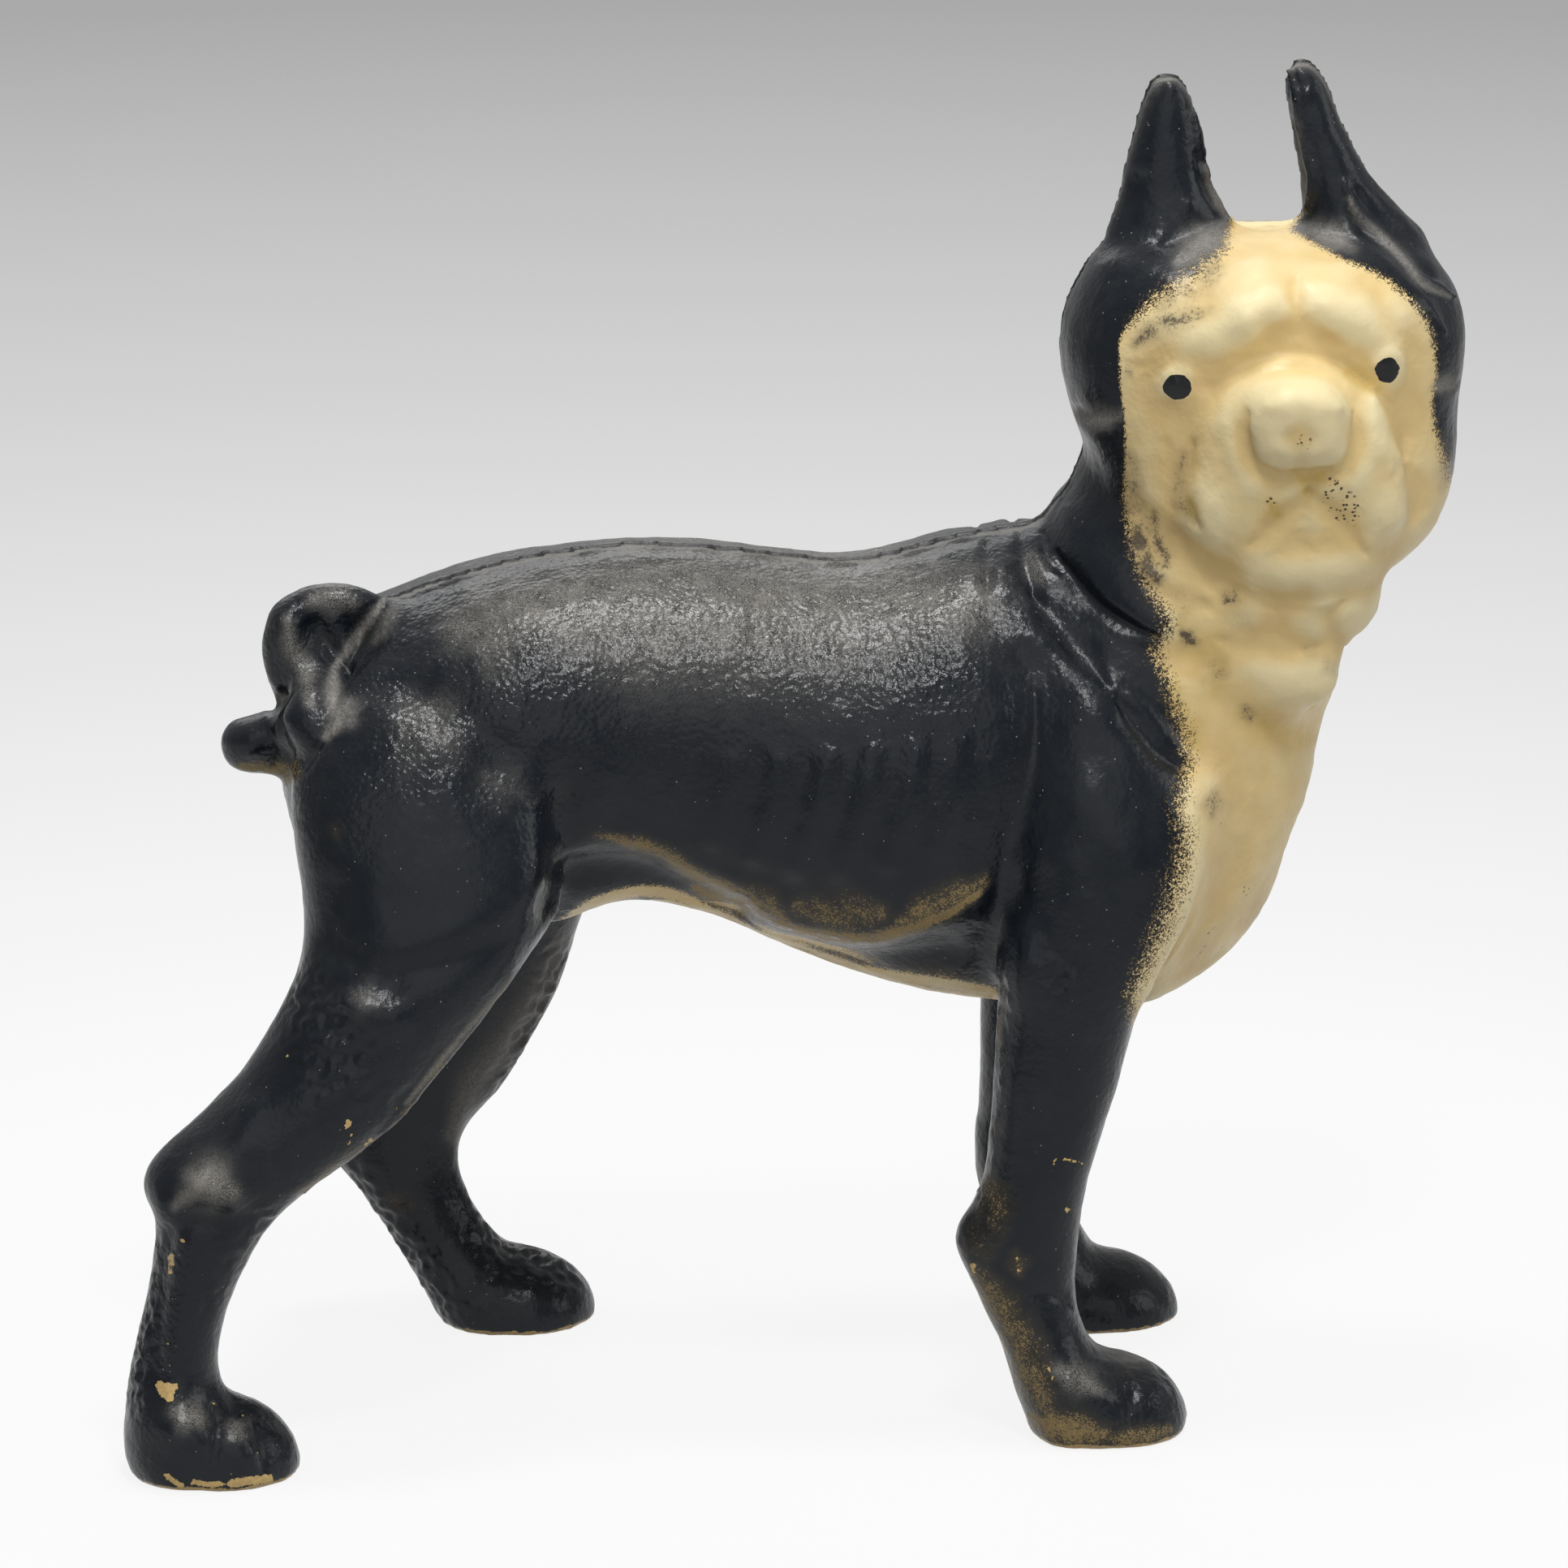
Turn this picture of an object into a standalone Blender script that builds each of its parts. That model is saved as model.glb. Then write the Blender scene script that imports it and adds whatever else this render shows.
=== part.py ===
"""Cast iron doorstop in the shape of a standing terrier with its head turned to its right.

Two hollow half castings meet on the middle plane of the dog, y = 0. The right half carries the face and
the tail, the left half the back of the head. One long slotted screw enters the left flank, passes
a boss of the left half and is threaded into a blind boss of the right half.
The dog faces +X, its right side faces -Y, and the four soles stand on z = 0.
"""

import math

import bmesh
import bpy
import numpy as np
from mathutils import Matrix, Vector
from mathutils.bvhtree import BVHTree

# Driving sizes, in metres
FIGURE_LENGTH = 0.2554
FIGURE_HEIGHT = 0.2558
BODY_WIDTH = 0.0790
WALL = 0.005
SEAM_GAP = 0.0003
SCREW_X = 0.004
SCREW_Z = 0.126
SHANK_DIAMETER = 0.0048
SHANK_CLEARANCE = 0.0004
THREAD_CLEARANCE = 0.0003
HEAD_DIAMETER = 0.0095
HEAD_HEIGHT = 0.0032
HEAD_CLEARANCE = 0.0005
HEAD_SEAT_GAP = 0.0003
SLOT_WIDTH = 0.0013
SLOT_DEPTH = 0.0016
BOSS_DIAMETER = 0.016
THREAD_DEPTH = 0.020
THREAD_RUN_OUT = 0.003
HIND_STANCE = 0.0445
FRONT_STANCE = 0.0350
TAIL_OFFSET = 0.0070
TAIL_DIAMETER = 0.0098

# Fineness of the modelling
VOXEL = 0.0016
CORE_VOXEL = 0.003
SKIN_TRIANGLES = 9500
CORE_TRIANGLES = 1100
RING_POINTS = 32
ROUND_SIDES = 32
SECTION_STEP = 0.003
SMOOTH_PASSES = 5
CORE_PASSES = 3
SMOOTHING = 0.5
FACE_KEPT = 0.5
THINNING_SPREAD = 6e-4
WELD = 0.00005
CUTTER_REACH = 1.5
SHARP_ANGLE = 40
# A groove fades out within this distance of the middle plane
GROOVE_FADE = 0.004

# Colour, roughness and metallic value of the two finishes
ENAMEL = ((0.013, 0.015, 0.022), 0.3, 0.0)
STEEL = ((0.16, 0.15, 0.14), 0.5, 1.0)

# The tables are drawn in millimetres, for a figure of this length, body width and height.
# Letters name the axis that each value of a row is drawn along, and a dash a plain number.
DRAWN_LENGTH = 255.4
DRAWN_WIDTH = 79.0
DRAWN_HEIGHT = 255.8
REAL_SIZE = {
    "x": FIGURE_LENGTH / DRAWN_LENGTH,
    "y": BODY_WIDTH / DRAWN_WIDTH,
    "z": FIGURE_HEIGHT / DRAWN_HEIGHT,
    "-": 1.0,
}
TRUNK_AXES = "xzzzy-"
LEVEL_AXES = "zxxyy-"
NOSE_AXES = "yxxzz-"
TAIL_AXES = "xyz-"
FACE_FORM_AXES = "xzxzy"

# Sections across the trunk, 3 to 15 mm apart from the rump to the chest:
# station x, belly height, ridge height, height of the widest point, half width there, squareness
TRUNK = [
    (-95, 120, 133, 127, 8, 2.0),
    (-92, 108, 145, 126, 19, 2.0),
    (-85, 99, 152, 125, 29, 2.0),
    (-75, 95, 156, 126, 35, 2.1),
    (-60, 93, 160.9, 128, 39, 2.2),
    (-45, 94, 164.2, 130, 38, 2.2),
    (-30, 98, 165.8, 132, 35, 2.2),
    (-15, 94.5, 165.1, 130, 35.5, 2.2),
    (0, 87.5, 163, 126, 37.5, 2.2),
    (15, 82, 162, 123, 39.5, 2.2),
    (30, 78, 165.2, 121, 39.5, 2.2),
    (45, 76, 168, 121, 37.5, 2.1),
    (60, 77, 167, 121, 33, 2.0),
    (75, 84, 160, 122, 26, 2.0),
]

# Level sections of the chest, neck and throat:
# height z, back x, front x, right y, left y, squareness
CHEST_AND_NECK = [
    (76, 48, 71, -12, 12, 2.0),
    (80, 40, 79, -19, 19, 2.0),
    (85, 34, 85.2, -24, 24, 2.0),
    (95, 30, 92.2, -29, 29, 2.1),
    (105, 28, 95.6, -31, 31, 2.1),
    (115, 28, 99, -32, 32, 2.1),
    (127, 28, 101.4, -33, 33, 2.1),
    (139, 30, 105, -33, 33, 2.1),
    (148, 34, 107.4, -32, 31, 2.1),
    (157, 41, 111.2, -31, 28, 2.1),
    (166, 46, 114.2, -30, 25, 2.1),
    (175, 53, 115, -29, 23, 2.1),
    (185, 57, 116, -28, 22, 2.1),
    (195, 60, 117, -26, 21, 2.1),
]

# Level sections of the skull: height z, back x, front x, right y (the face), left y, squareness
SKULL = [
    (161, 84, 108, -29, -8, 2.0),
    (163.5, 76, 113.5, -31.5, -2, 2.1),
    (167, 69, 118.8, -33.5, 6, 2.2),
    (172, 63, 122.6, -34.5, 13, 2.3),
    (178, 58.5, 125, -35, 18, 2.3),
    (184.5, 56, 126.2, -35, 22, 2.3),
    (192, 53.2, 126.4, -34.5, 24, 2.3),
    (200, 51.5, 127.4, -34.5, 25, 2.3),
    (208, 52, 127.5, -33.5, 25, 2.3),
    (213.5, 54, 125.8, -31.5, 23, 2.3),
    (218, 56.3, 122.8, -28, 18.5, 2.3),
    (221.5, 59, 120.2, -23.5, 13, 2.3),
    (223.8, 63, 116.8, -18, 8, 2.2),
    (224.6, 70, 110, -11, 4, 2.0),
]

# Level sections of a leg:
# height z, back x, front x, sideways lean from the line of the stance, half width, squareness
RIGHT_HIND_LEG = [
    (150, -84, -60, 30, 8, 2.0),
    (143, -90, -51, 24, 12, 2.0),
    (132, -94.8, -45, 19, 16, 2.1),
    (120, -95.8, -42, 15.5, 18, 2.2),
    (108, -93.3, -42.5, 12.5, 19, 2.2),
    (98, -93.3, -49, 9.5, 18.3, 2.2),
    (88, -97.5, -58, 6.5, 16.5, 2.2),
    (78, -103, -66.5, 4.5, 14.5, 2.2),
    (68, -113, -75.2, 2, 12.8, 2.1),
    (61.5, -121, -83, 0.5, 11.8, 2.1),
    (56, -122.7, -91, 0, 11.2, 2.1),
    (49, -121.3, -99, 0, 10.5, 2.0),
    (40, -122.3, -104.5, 0, 9.7, 2.0),
    (31, -124.1, -108.2, 0, 9.4, 2.0),
    (22, -126, -110, 0, 9.6, 2.0),
    (17.5, -127, -109.5, 0, 11, 2.0),
    (12, -127.5, -107, 0, 13, 2.1),
    (6, -128, -105, 0, 14, 2.2),
    (1, -127, -104, 0, 13.8, 2.2),
    (-2, -125.6, -104, 0, 13.4, 2.2),
]
LEFT_HIND_LEG = [
    (150, -80, -56, 30, 8, 2.0),
    (143, -85, -46, 24, 12, 2.0),
    (132, -88, -38, 19, 16, 2.1),
    (120, -86, -34, 15.5, 18, 2.2),
    (108, -82, -32.5, 12.5, 19, 2.2),
    (98, -77.5, -33, 9.5, 18.3, 2.2),
    (88, -74, -34.6, 7, 16.5, 2.2),
    (78, -72.5, -37.2, 4.5, 14.5, 2.2),
    (68, -74, -40, 2.5, 12.8, 2.1),
    (60, -80, -43.8, 1, 11.8, 2.1),
    (52, -88, -48, 0, 11.2, 2.1),
    (46, -91.8, -52, 0, 10.6, 2.1),
    (40, -89.5, -57.6, 0, 10, 2.0),
    (32, -83.3, -59.8, 0, 9.6, 2.0),
    (25, -78, -58, 0, 9.6, 2.0),
    (18.5, -74, -54.2, 0, 10.5, 2.0),
    (12, -70.2, -48.5, 0, 12.5, 2.1),
    (6, -66.8, -43, 0, 13.8, 2.2),
    (-2, -63, -42, 0, 13.6, 2.2),
]
RIGHT_FRONT_LEG = [
    (154, 48, 60, 18, 6, 2.0),
    (146, 43, 67, 13, 10.5, 2.0),
    (134, 40.5, 73, 8.5, 13, 2.1),
    (122, 39.5, 76.5, 5.5, 14.8, 2.2),
    (110, 38.5, 76, 4, 15.6, 2.2),
    (100, 38, 72.2, 3, 15.2, 2.2),
    (90, 37.7, 66.5, 2, 14, 2.2),
    (80, 37.3, 63, 1, 12.5, 2.1),
    (70, 36.3, 60.4, 0, 11.3, 2.1),
    (60, 35.5, 57.4, 0, 10.6, 2.1),
    (50, 34.6, 54.4, 0, 10.2, 2.1),
    (42, 31.4, 53, 0, 10.2, 2.1),
    (35, 30.6, 52.4, 0, 10, 2.1),
    (28, 33.2, 52, 0, 9.8, 2.1),
    (21, 36.6, 53.6, 0, 10.4, 2.1),
    (15, 38.8, 56.8, 0, 12.4, 2.1),
    (8, 40.8, 60, 0, 13.8, 2.2),
    (-2, 44.5, 62, 0, 13.6, 2.2),
]
LEFT_FRONT_LEG = [
    (154, 50, 62, 18, 6, 2.0),
    (146, 46, 70, 13, 10.5, 2.0),
    (134, 43, 76, 8.5, 13, 2.1),
    (122, 42, 79.5, 5.5, 14.8, 2.2),
    (110, 41, 79, 4, 15.6, 2.2),
    (100, 40.6, 75.5, 3, 15.2, 2.2),
    (90, 40.6, 70, 2, 14, 2.2),
    (80, 41, 67, 1, 12.5, 2.1),
    (70, 41.2, 64.8, 0, 11.3, 2.1),
    (60, 41.2, 62.8, 0, 10.6, 2.1),
    (50, 41.4, 60.8, 0, 10.2, 2.1),
    (42, 41, 59.8, 0, 10.2, 2.1),
    (35, 40.4, 59.2, 0, 10, 2.1),
    (28, 40.8, 58.8, 0, 9.8, 2.1),
    (21, 43, 60.2, 0, 10.4, 2.1),
    (15, 45.2, 63.2, 0, 12.4, 2.1),
    (8, 47.4, 66.5, 0, 13.8, 2.2),
    (-2, 50.5, 68, 0, 13.6, 2.2),
]

# Level sections of the cropped ears: height z, inner and outer x, right y, left y, squareness
RIGHT_EAR = [
    (215, 62, 84, -14, 6, 2.0),
    (221, 59.6, 86, -13.5, 6.5, 2.0),
    (226, 60.6, 83.6, -11, 6.5, 2.0),
    (231, 62.6, 81.4, -9, 6, 2.0),
    (237, 63.7, 79.3, -7.5, 5.5, 2.0),
    (243, 65.2, 78.1, -6.5, 5, 2.0),
    (248, 66.6, 76.9, -5.5, 4.5, 2.0),
    (251.5, 67.8, 75.7, -4.8, 4, 2.0),
    (253.8, 69.4, 74.2, -3.6, 3.2, 2.0),
]
LEFT_EAR = [
    (215, 97, 121, -13, 6, 2.0),
    (221, 96.5, 121.5, -12.5, 6.5, 2.0),
    (227, 97.2, 117, -11, 6.5, 2.0),
    (233, 96.9, 110.9, -9, 6, 2.0),
    (239, 95.7, 107.5, -7.5, 5.5, 2.0),
    (245, 94.7, 104.4, -6.5, 5, 2.0),
    (250, 93.9, 102.7, -5.5, 4.5, 2.0),
    (253.5, 94, 100.8, -4.8, 4, 2.0),
    (256, 95.2, 98.9, -3.4, 3, 2.0),
]

# Rounded masses laid over the sections: centre, radii, turn about y in degrees
MASSES = [
    # brow and forehead, in two halves
    ((85, -21, 212.5), (14, 11.2, 10.5), 0),
    ((97, -21, 212), (14, 11.2, 10.5), 0),
    # muzzle, the two hanging lips and the chin
    ((92.5, -27.5, 187.5), (20.5, 14, 18), 0),
    ((82, -28.8, 178.5), (11.5, 10, 11), 20),
    ((103.5, -28.8, 179.5), (11, 10, 11), -20),
    ((94.5, -27.5, 169.5), (14, 9.5, 7.5), 0),
    # loose skin of the throat
    ((90, -24, 147), (13, 8, 10), 20),
    ((96.5, -20, 158), (13, 11, 11), 0),
]

# Masses of each leg: centre x, outward step from the line of the stance and z,
# radii, turn about y in degrees. The first of each leg is its paw, a long lobe before the pastern.
RIGHT_HIND_MASSES = [
    ((-110, 0, 2.6), (15.6, 14.7, 12.2), 14),
    # hock
    ((-117, 0, 56), (6.6, 10, 6.5), 0),
]
LEFT_HIND_MASSES = [
    ((-48.5, 0, 2.2), (15.8, 14.7, 11.6), 10),
]
RIGHT_FRONT_MASSES = [
    ((58.5, 0, 3.6), (15.4, 14.6, 11.6), 10),
    # elbow, then the pad behind the wrist
    ((43, 2.5, 93), (7, 8.5, 12), 0),
    ((33.5, 0, 38), (4.5, 6.5, 5.5), 0),
]
LEFT_FRONT_MASSES = [
    ((65.8, 0, 2), (15.2, 14.4, 11.2), 10),
    # elbow, then the pad behind the wrist
    ((46, 2.5, 93), (7, 8.5, 12), 0),
    ((44, 0, 38), (4, 6.5, 5.5), 0),
]

# Sections and masses of each leg, half the distance between the pair, and its side of the dog
LEGS = [
    (RIGHT_HIND_LEG, RIGHT_HIND_MASSES, HIND_STANCE, -1),
    (LEFT_HIND_LEG, LEFT_HIND_MASSES, HIND_STANCE, 1),
    (RIGHT_FRONT_LEG, RIGHT_FRONT_MASSES, FRONT_STANCE, -1),
    (LEFT_FRONT_LEG, LEFT_FRONT_MASSES, FRONT_STANCE, 1),
]

# Middle line of the tail: x, sideways step from the tail's own plane, z, relative thickness
TAIL = [
    (-64, -2, 146.5, 0.95),
    (-74, -1, 152.3, 1.0),
    (-82, 0, 156.2, 1.0),
    (-89.5, 0, 156, 1.0),
    (-94.6, 0, 152, 1.0),
    (-94.4, -0.5, 146.5, 1.0),
    (-92, -1, 141.5, 1.0),
    (-90.5, -1, 136, 1.0),
    (-92.5, -0.5, 131, 1.08),
    (-97, 0, 129.6, 1.14),
    (-101, 0, 130, 1.1),
]
# Rump under the tail: centre as in TAIL, radii. Rounded tip: centre, radii as shares of the tail's own.
RUMP_UNDER_TAIL = ((-82, -1, 142), (10.5, 12, 13))
TAIL_TIP = ((-101.2, -0.2, 130), (1.14, 1.1, 1.14))

# Rounded section of the nose, from the muzzle to its flat front: station y, its two sides x,
# low and high z, squareness
NOSE = [
    (-34, 82, 100.4, 187.4, 202.9, 2.4),
    (-40.5, 82.6, 100, 188.2, 202.6, 2.5),
    (-43.5, 83.2, 99.4, 189, 201.9, 2.5),
    (-45.2, 85, 97.8, 190.8, 200.4, 2.4),
    (-45.8, 87.4, 95.4, 193, 198.6, 2.2),
]

# The front of the head, between two corners
FACE_CORNERS = [(60, -60, 166), (122, -26, 222)]
# Small swellings (+) and hollows (-) of the face, seen from its front: centre x, z, half widths, height
FACE_FORMS = [
    # eye sockets, eyeballs
    (71, 202, 8, 6.5, -1.8),
    (108.6, 204, 8, 6.5, -1.8),
    (70.3, 201.7, 3.6, 3.4, 2.2),
    (109, 203.8, 3.6, 3.4, 2.2),
    # brow on both sides of the middle furrow, and its outer ends over the eyes
    (84.5, 214.5, 7, 5, 1.6),
    (98, 213.8, 7, 5, 1.6),
    (72, 212, 8, 4, 1.0),
    (110, 213, 8, 4, 1.0),
    # hollows under the eyes beside the muzzle
    (72, 191, 6, 6, -0.9),
    (112.5, 193, 5, 6, -0.9),
]

# Grooves that separate the forms, as lines seen from the side: half width, depth, side, points (x, z)
GROOVES = [
    # right side: neck fold, shoulder fold, elbow, rib edge, thigh
    (2.8, 1.6, -1, [(46, 176), (49, 166), (55, 156), (66, 150.5), (78, 149)]),
    (2.8, 1.4, -1, [(40, 172), (44, 163), (50, 156), (57, 146), (65, 137), (73, 128)]),
    (3.0, 1.8, -1, [(43, 148), (42.5, 133), (39, 116), (37.8, 101), (35, 86)]),
    (
        4.0, 2.2, -1,
        [(-44, 108), (-38, 109), (-28, 107), (-18, 103), (-10, 98), (-2, 92), (12, 88), (28, 91)],
    ),
    (4.0, 1.6, -1, [(-45, 130), (-43, 118), (-45, 106), (-50, 97)]),
    # face: mouth, fold over the nose
    (1.8, 1.0, -1, [(82, 172), (88, 178), (93, 182), (99, 179), (104.6, 175)]),
    (
        2.4, 1.4, -1,
        [(78, 200.5), (83, 205), (88, 208), (92.5, 207), (97, 208), (101.5, 204.5), (105, 200.5)],
    ),
    # left side: neck fold, elbow, rib edge, thigh
    (3.0, 1.4, 1, [(45, 176), (49, 164), (58, 152), (70, 144)]),
    (3.0, 1.8, 1, [(46, 148), (45.5, 133), (42, 116), (41, 101), (38, 86)]),
    (4.0, 2.2, 1, [(-40, 108), (-28, 107), (-18, 103), (-10, 98), (-2, 92), (12, 88), (28, 91)]),
    (4.0, 1.6, 1, [(-40, 130), (-36, 118), (-37, 106), (-38, 97)]),
]


def clear_scene():
    for old in list(bpy.data.objects):
        bpy.data.objects.remove(old, do_unlink=True)


def collection_named(name):
    made = bpy.data.collections.new(name)
    bpy.context.scene.collection.children.link(made)
    return made


def finish_of(name, colour, roughness, metallic):
    made = bpy.data.materials.new(name)
    made.use_nodes = True
    made.diffuse_color = (*colour, 1.0)
    shader = made.node_tree.nodes["Principled BSDF"]
    shader.inputs["Base Color"].default_value = (*colour, 1.0)
    shader.inputs["Roughness"].default_value = roughness
    shader.inputs["Metallic"].default_value = metallic
    return made


def object_of(name, mesh, collection):
    made = bpy.data.objects.new(name, mesh)
    collection.objects.link(made)
    return made


def as_helper(helper):
    helper.hide_render = True
    helper.display_type = "WIRE"
    return helper


def with_modifier(owner, kind, **settings):
    """Adds a modifier, then keeps its result as the object's own mesh."""
    modifier = owner.modifiers.new(kind.title(), kind)
    for key, value in settings.items():
        setattr(modifier, key, value)
    graph = bpy.context.evaluated_depsgraph_get()
    changed = bpy.data.meshes.new_from_object(owner.evaluated_get(graph))
    owner.modifiers.clear()
    owner.data = changed
    return owner


def boolean(owner, other, operation):
    return with_modifier(owner, "BOOLEAN", operation=operation, object=other, solver="EXACT")


def drawn(values, axes="xyz"):
    """Values of the tables at the figure's real size."""
    return tuple(value * REAL_SIZE[axis] for value, axis in zip(values, axes))


def drawn_rows(table, axes):
    return [drawn(row, axes) for row in table]


def smooth_rows(rows):
    """Rows between the given ones, along smooth curves through them."""
    rows = np.array(rows)
    along = rows[:, 0]
    slopes = np.gradient(rows, along, axis=0)
    made = []
    for i in range(len(rows) - 1):
        span = along[i + 1] - along[i]
        pieces = max(1, math.ceil(abs(span) / SECTION_STEP))
        for t in np.arange(pieces) / pieces:
            start = (1 + 2 * t) * (1 - t) ** 2 * rows[i] + t * (1 - t) ** 2 * span * slopes[i]
            end = t * t * (3 - 2 * t) * rows[i + 1] - t * t * (1 - t) * span * slopes[i + 1]
            made.append(start + end)
    made.append(rows[-1])
    return made


def rounded_ring(low_u, high_u, low_v, high_v, middle_v, power):
    """Points round a closed outline between a rounded rectangle and an ellipse, widest at middle_v."""
    turn = np.linspace(0, 2 * math.pi, RING_POINTS, endpoint=False)
    across = np.sign(np.cos(turn)) * np.abs(np.cos(turn)) ** (2 / power)
    up = np.sign(np.sin(turn)) * np.abs(np.sin(turn)) ** (2 / power)
    u = (low_u + high_u) / 2 + (high_u - low_u) / 2 * across
    v = middle_v + np.where(up > 0, (high_v - middle_v) * up, (middle_v - low_v) * up)
    return u, v


def merge_into(shape, part, name):
    """Adds the faces of one bmesh, turned to face out, to another."""
    bmesh.ops.recalc_face_normals(part, faces=part.faces)
    mesh = bpy.data.meshes.new(name)
    part.to_mesh(mesh)
    part.free()
    shape.from_mesh(mesh)
    bpy.data.meshes.remove(mesh)


def add_loft(shape, rings):
    """Adds a closed skin over a row of rings."""
    part = bmesh.new()
    rows = [[part.verts.new(point) for point in ring] for ring in rings]
    for one, other in zip(rows, rows[1:]):
        for i in range(RING_POINTS):
            j = (i + 1) % RING_POINTS
            part.faces.new((one[i], one[j], other[j], other[i]))
    part.faces.new(rows[0][::-1])
    part.faces.new(rows[-1])
    merge_into(shape, part, "loft")


def rows_inside(sections, inset):
    """Smoothed rows that lie at least the inset from both ends of the sections."""
    ends = sorted((sections[0][0], sections[-1][0]))
    return [row for row in smooth_rows(sections) if ends[0] + inset <= row[0] <= ends[1] - inset]


def has_room(width, inset):
    """Whether a section this wide leaves a hollow at least two insets wide."""
    return width > 4 * inset


def trunk_rings(inset=0.0):
    rings = []
    for x, low, high, middle, half, power in rows_inside(drawn_rows(TRUNK, TRUNK_AXES), inset):
        if has_room(high - low, inset) and has_room(2 * half, inset):
            y, z = rounded_ring(-half + inset, half - inset, low + inset, high - inset, middle, power)
            rings.append([(x, a, b) for a, b in zip(y, z)])
    return rings


def level_rings(sections, inset=0.0):
    rings = []
    for z, back, front, right, left, power in rows_inside(sections, inset):
        if has_room(front - back, inset) and has_room(left - right, inset):
            middle = (right + left) / 2
            x, y = rounded_ring(back + inset, front - inset, right + inset, left - inset, middle, power)
            rings.append([(a, b, z) for a, b in zip(x, y)])
    return rings


def nose_rings():
    rings = []
    for y, one, other, low, high, power in smooth_rows(drawn_rows(NOSE, NOSE_AXES)):
        x, z = rounded_ring(one, other, low, high, (low + high) / 2, power)
        rings.append([(a, y, b) for a, b in zip(x, z)])
    return rings


def leg_sections(rows, stance, side):
    """A leg's rows as level sections, with its sideways place worked out from the stance."""
    made = []
    for z, back, front, lean, half, power in drawn_rows(rows, LEVEL_AXES):
        middle = side * (stance - lean)
        made.append((z, back, front, middle - half, middle + half, power))
    return made


def add_mass(shape, centre, radii, turn=0):
    place = Matrix.Translation(centre) @ Matrix.Rotation(math.radians(turn), 4, "Y")
    size = Matrix.Diagonal((*radii, 1.0))
    bmesh.ops.create_icosphere(shape, subdivisions=4, radius=1.0, matrix=place @ size)


def tail_mesh(collection):
    """The curled tail: a smooth curve with a round bevel, its ends rounded by smoothing later."""
    curve = bpy.data.curves.new("tail_line", "CURVE")
    curve.dimensions = "3D"
    curve.bevel_depth = TAIL_DIAMETER / 2
    curve.bevel_resolution = 4
    curve.resolution_u = 8
    curve.use_fill_caps = True
    line = curve.splines.new("NURBS")
    line.points.add(len(TAIL) - 1)
    for point, (x, step, z, thickness) in zip(line.points, drawn_rows(TAIL, TAIL_AXES)):
        point.co = (x, step - TAIL_OFFSET, z, 1.0)
        point.radius = thickness
    line.order_u = 3
    line.use_endpoint_u = True
    guide = object_of("tail_line", curve, collection)
    graph = bpy.context.evaluated_depsgraph_get()
    mesh = bpy.data.meshes.new_from_object(guide.evaluated_get(graph))
    bpy.data.objects.remove(guide)
    return mesh


def add_tail(shape, collection):
    """Adds the tail, its rounded tip and the rump that carries it."""
    part = bmesh.new()
    part.from_mesh(tail_mesh(collection))
    bmesh.ops.remove_doubles(part, verts=part.verts, dist=WELD)
    merge_into(shape, part, "tail")
    beside = Vector((0, -TAIL_OFFSET, 0))
    centre, radii = RUMP_UNDER_TAIL
    add_mass(shape, beside + Vector(drawn(centre)), drawn(radii))
    centre, shares = TAIL_TIP
    add_mass(shape, beside + Vector(drawn(centre)), Vector(shares) * TAIL_DIAMETER / 2)


def add_leg(shape, sections, masses, stance, side):
    add_loft(shape, level_rings(leg_sections(sections, stance, side)))
    for centre, radii, turn in masses:
        x, outward, z = drawn(centre)
        add_mass(shape, (x, side * (stance + outward), z), drawn(radii), turn)


def distance_to_line(points, line):
    """Distance in the side view from each point to the line."""
    best = np.full(len(points), np.inf)
    for start, end in zip(line[:-1], line[1:]):
        run = end - start
        share = np.clip(((points - start) @ run) / (run @ run), 0, 1)
        best = np.minimum(best, np.linalg.norm(points - start - share[:, None] * run, axis=1))
    return best


def model_surface(mesh):
    """Raises the small forms of the face and sinks each groove, on the side that it belongs to."""
    count = len(mesh.vertices)
    points = np.empty(count * 3, np.float32)
    mesh.vertices.foreach_get("co", points)
    points = points.reshape(-1, 3).astype(float)
    normals = np.array([vertex.normal[:] for vertex in mesh.vertices])
    facing = np.clip(-normals[:, 1], 0, 1) ** 0.5
    for x, z, half_x, half_z, height in drawn_rows(FACE_FORMS, FACE_FORM_AXES):
        away = ((points[:, 0] - x) / half_x) ** 2 + ((points[:, 2] - z) / half_z) ** 2
        points += normals * (height * np.exp(-away) * facing)[:, None]
    for half_width, depth, side, line in GROOVES:
        half_width, depth = drawn((half_width, depth), "xy")
        facing = np.clip(normals[:, 1] * side, 0, 1) ** 0.5
        on_side = np.clip(points[:, 1] * side / GROOVE_FADE, 0, 1)
        distance = distance_to_line(points[:, [0, 2]], np.array(drawn_rows(line, "xz")))
        sink = depth * np.exp(-((distance / half_width) ** 2)) * facing * on_side
        points -= normals * sink[:, None]
    mesh.vertices.foreach_set("co", points.astype(np.float32).ravel())
    mesh.update()


def thinned(owner, triangles, **weights):
    owner.data.calc_loop_triangles()
    ratio = min(1.0, triangles / len(owner.data.loop_triangles))
    with_modifier(owner, "DECIMATE", ratio=ratio, use_collapse_triangulate=True, **weights)
    return owner


def mark_face(owner):
    """Weights the skin so that thinning leaves smaller triangles on the front of the head."""
    group = owner.vertex_groups.new(name="face")
    low, high = drawn_rows(FACE_CORNERS, "xyz")
    inside = [v.index for v in owner.data.vertices if all(low[i] < v.co[i] < high[i] for i in range(3))]
    group.add(range(len(owner.data.vertices)), 1.0, "REPLACE")
    group.add(inside, FACE_KEPT, "REPLACE")


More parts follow.
